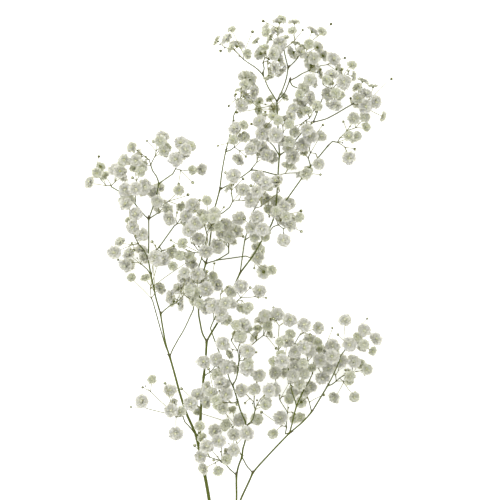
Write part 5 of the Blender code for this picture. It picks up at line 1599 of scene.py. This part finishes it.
def petal_material():
    """Off-white petals: greenish yellow at the foot, veined, with a green cast on young blooms."""
    made, tree, shader = shader_of("petal", PETAL_SURFACE)
    along, across, own, young = tint_channels(tree)
    body = ramp(tree, along, PETAL_STOPS)
    cast = mixed(tree, scaled(tree, young, 0.0, YOUNG_CAST_SHARE), body, YOUNG_CAST, "MULTIPLY")
    worn = mixed(tree, scaled(tree, own, 0.0, PETAL_SHADE_SHARE), cast, PETAL_SHADE, "MULTIPLY")
    lines = veins(tree, across, PETAL_VEINS)
    veined = mixed(tree, scaled(tree, lines, 0.0, PETAL_VEIN_SHARE), worn, PETAL_VEIN, "MULTIPLY")
    tree.links.new(veined, shader.inputs["Base Color"])
    bumped(tree, shader, lines, VEIN_HEIGHT)
    return made


def green_material(name, fresh, dull, roughness):
    """A finely mottled green skin that varies from form to form: tan where slender, brown at joints."""
    made, tree, shader = shader_of(name, {"Roughness": roughness, "Specular IOR Level": 0.2})
    joint, slender, own, _ = tint_channels(tree)
    mottle = mixed(tree, noise(tree, MOTTLE_SCALE), fresh, dull)
    varied = mixed(tree, scaled(tree, own, 0.0, GREEN_DULL_SHARE), mottle, dull)
    paled = mixed(tree, slender, varied, PEDICEL_TAN)
    browned = mixed(tree, scaled(tree, joint, 0.0, JOINT_BROWN_SHARE), paled, STALK_BROWN)
    tree.links.new(browned, shader.inputs["Base Color"])
    bumped(tree, shader, noise(tree, SKIN_GRAIN_SCALE), SKIN_GRAIN_HEIGHT)
    return made


def bract_material():
    """Papery brown scale leaves."""
    made, tree, shader = shader_of("bract", {"Roughness": 0.8})
    _, _, own, _ = tint_channels(tree)
    colour = mixed(tree, own, BRACT_BROWN, BRACT_GREEN)
    mottled = mixed(tree, noise(tree, BRACT_NOISE_SCALE), colour, STALK_BROWN)
    tree.links.new(mottled, shader.inputs["Base Color"])
    return made


# Floor, light and camera


def floor():
    """A glowing white floor that hides nearly all shadow."""
    mesh = bpy.data.meshes.new("floor")
    half = FLOOR_SIDE / 2
    corners = [(-half, -half, 0), (half, -half, 0), (half, half, 0), (-half, half, 0)]
    mesh.from_pydata(corners, [], [(0, 1, 2, 3)])
    made = placed("floor", mesh)
    mesh.materials.append(shader_of("floor", FLOOR_SURFACE)[0])


def area_light(name, place, target, side, power):
    """A square soft light that looks at its target."""
    data = bpy.data.lights.new(name, "AREA")
    data.shape = "SQUARE"
    data.size = side
    data.energy = power
    made = placed(name, data)
    made.location = place
    made.rotation_euler = (Vector(target) - Vector(place)).to_track_quat("-Z", "Y").to_euler()


def world_light(strength):
    world = bpy.data.worlds.new("soft_room")
    bpy.context.scene.world = world
    world.use_nodes = True
    background = world.node_tree.nodes["Background"]
    background.inputs["Color"].default_value = PLAIN_WHITE
    background.inputs["Strength"].default_value = strength


def camera(centre):
    """Straight above the middle of the sheet, so that one sheet is the whole picture."""
    data = bpy.data.cameras.new("above")
    data.sensor_width = SENSOR
    data.lens = SENSOR * CAMERA_HEIGHT / PICTURE_SIDE
    data.clip_end = CAMERA_REACH
    made = placed("above", data)
    made.location = (centre[0], centre[1], CAMERA_HEIGHT)
    bpy.context.scene.camera = made


# The whole stem


def sheet_shift():
    """What brings the sheet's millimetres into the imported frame, from the reach of the main stem."""
    places = [on_sheet(point) for _, _, _, points in AXES for point in points]
    places += [on_sheet(point) for _, _, points, *_ in SPRAYS for point in points]
    places = np.array(places)
    low, high = (np.array(corner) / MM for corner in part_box("main_stem"))
    middle = (low + high) / 2 - (places.min(axis=0) + places.max(axis=0)) / 2
    return np.array([middle[0], middle[1], 0.0])


def main():
    shift = sheet_shift()
    plant = planted()
    settle(plant)
    children = children_of(plant)
    stalk = green_material("stalk", STALK_GREEN, STALK_OLIVE, 0.55)
    calyx = green_material("calyx", CALYX_GREEN, CALYX_OLIVE, 0.6)
    materials = [stalk, calyx, petal_material(), bract_material()]
    stem = stem_shape(np.random.default_rng(SEED + STEM_DRAWS)).made("stem_and_branches", shift, materials)
    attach(stem, "root")
    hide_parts("main_stem")
    for number, (name, _, points, *_) in enumerate(SPRAYS):
        piece = spray_shape(plant, children, number, name, points).made("spray_" + name, shift, materials)
        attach(piece, "root")
        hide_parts(name)
    floor()
    middle = (shift + on_sheet((SHEET_CENTRE_ACROSS, SHEET_FOOT_DOWN / 2, 0))) * MM
    camera(middle)
    world_light(WORLD_STRENGTH)
    for name, (x, y, z), side, power in LIGHTS:
        area_light(name, (middle[0] + x, middle[1] + y, z), (middle[0], middle[1], AIM_HEIGHT), side, power)
    bpy.context.scene.view_settings.view_transform = "Standard"


main()
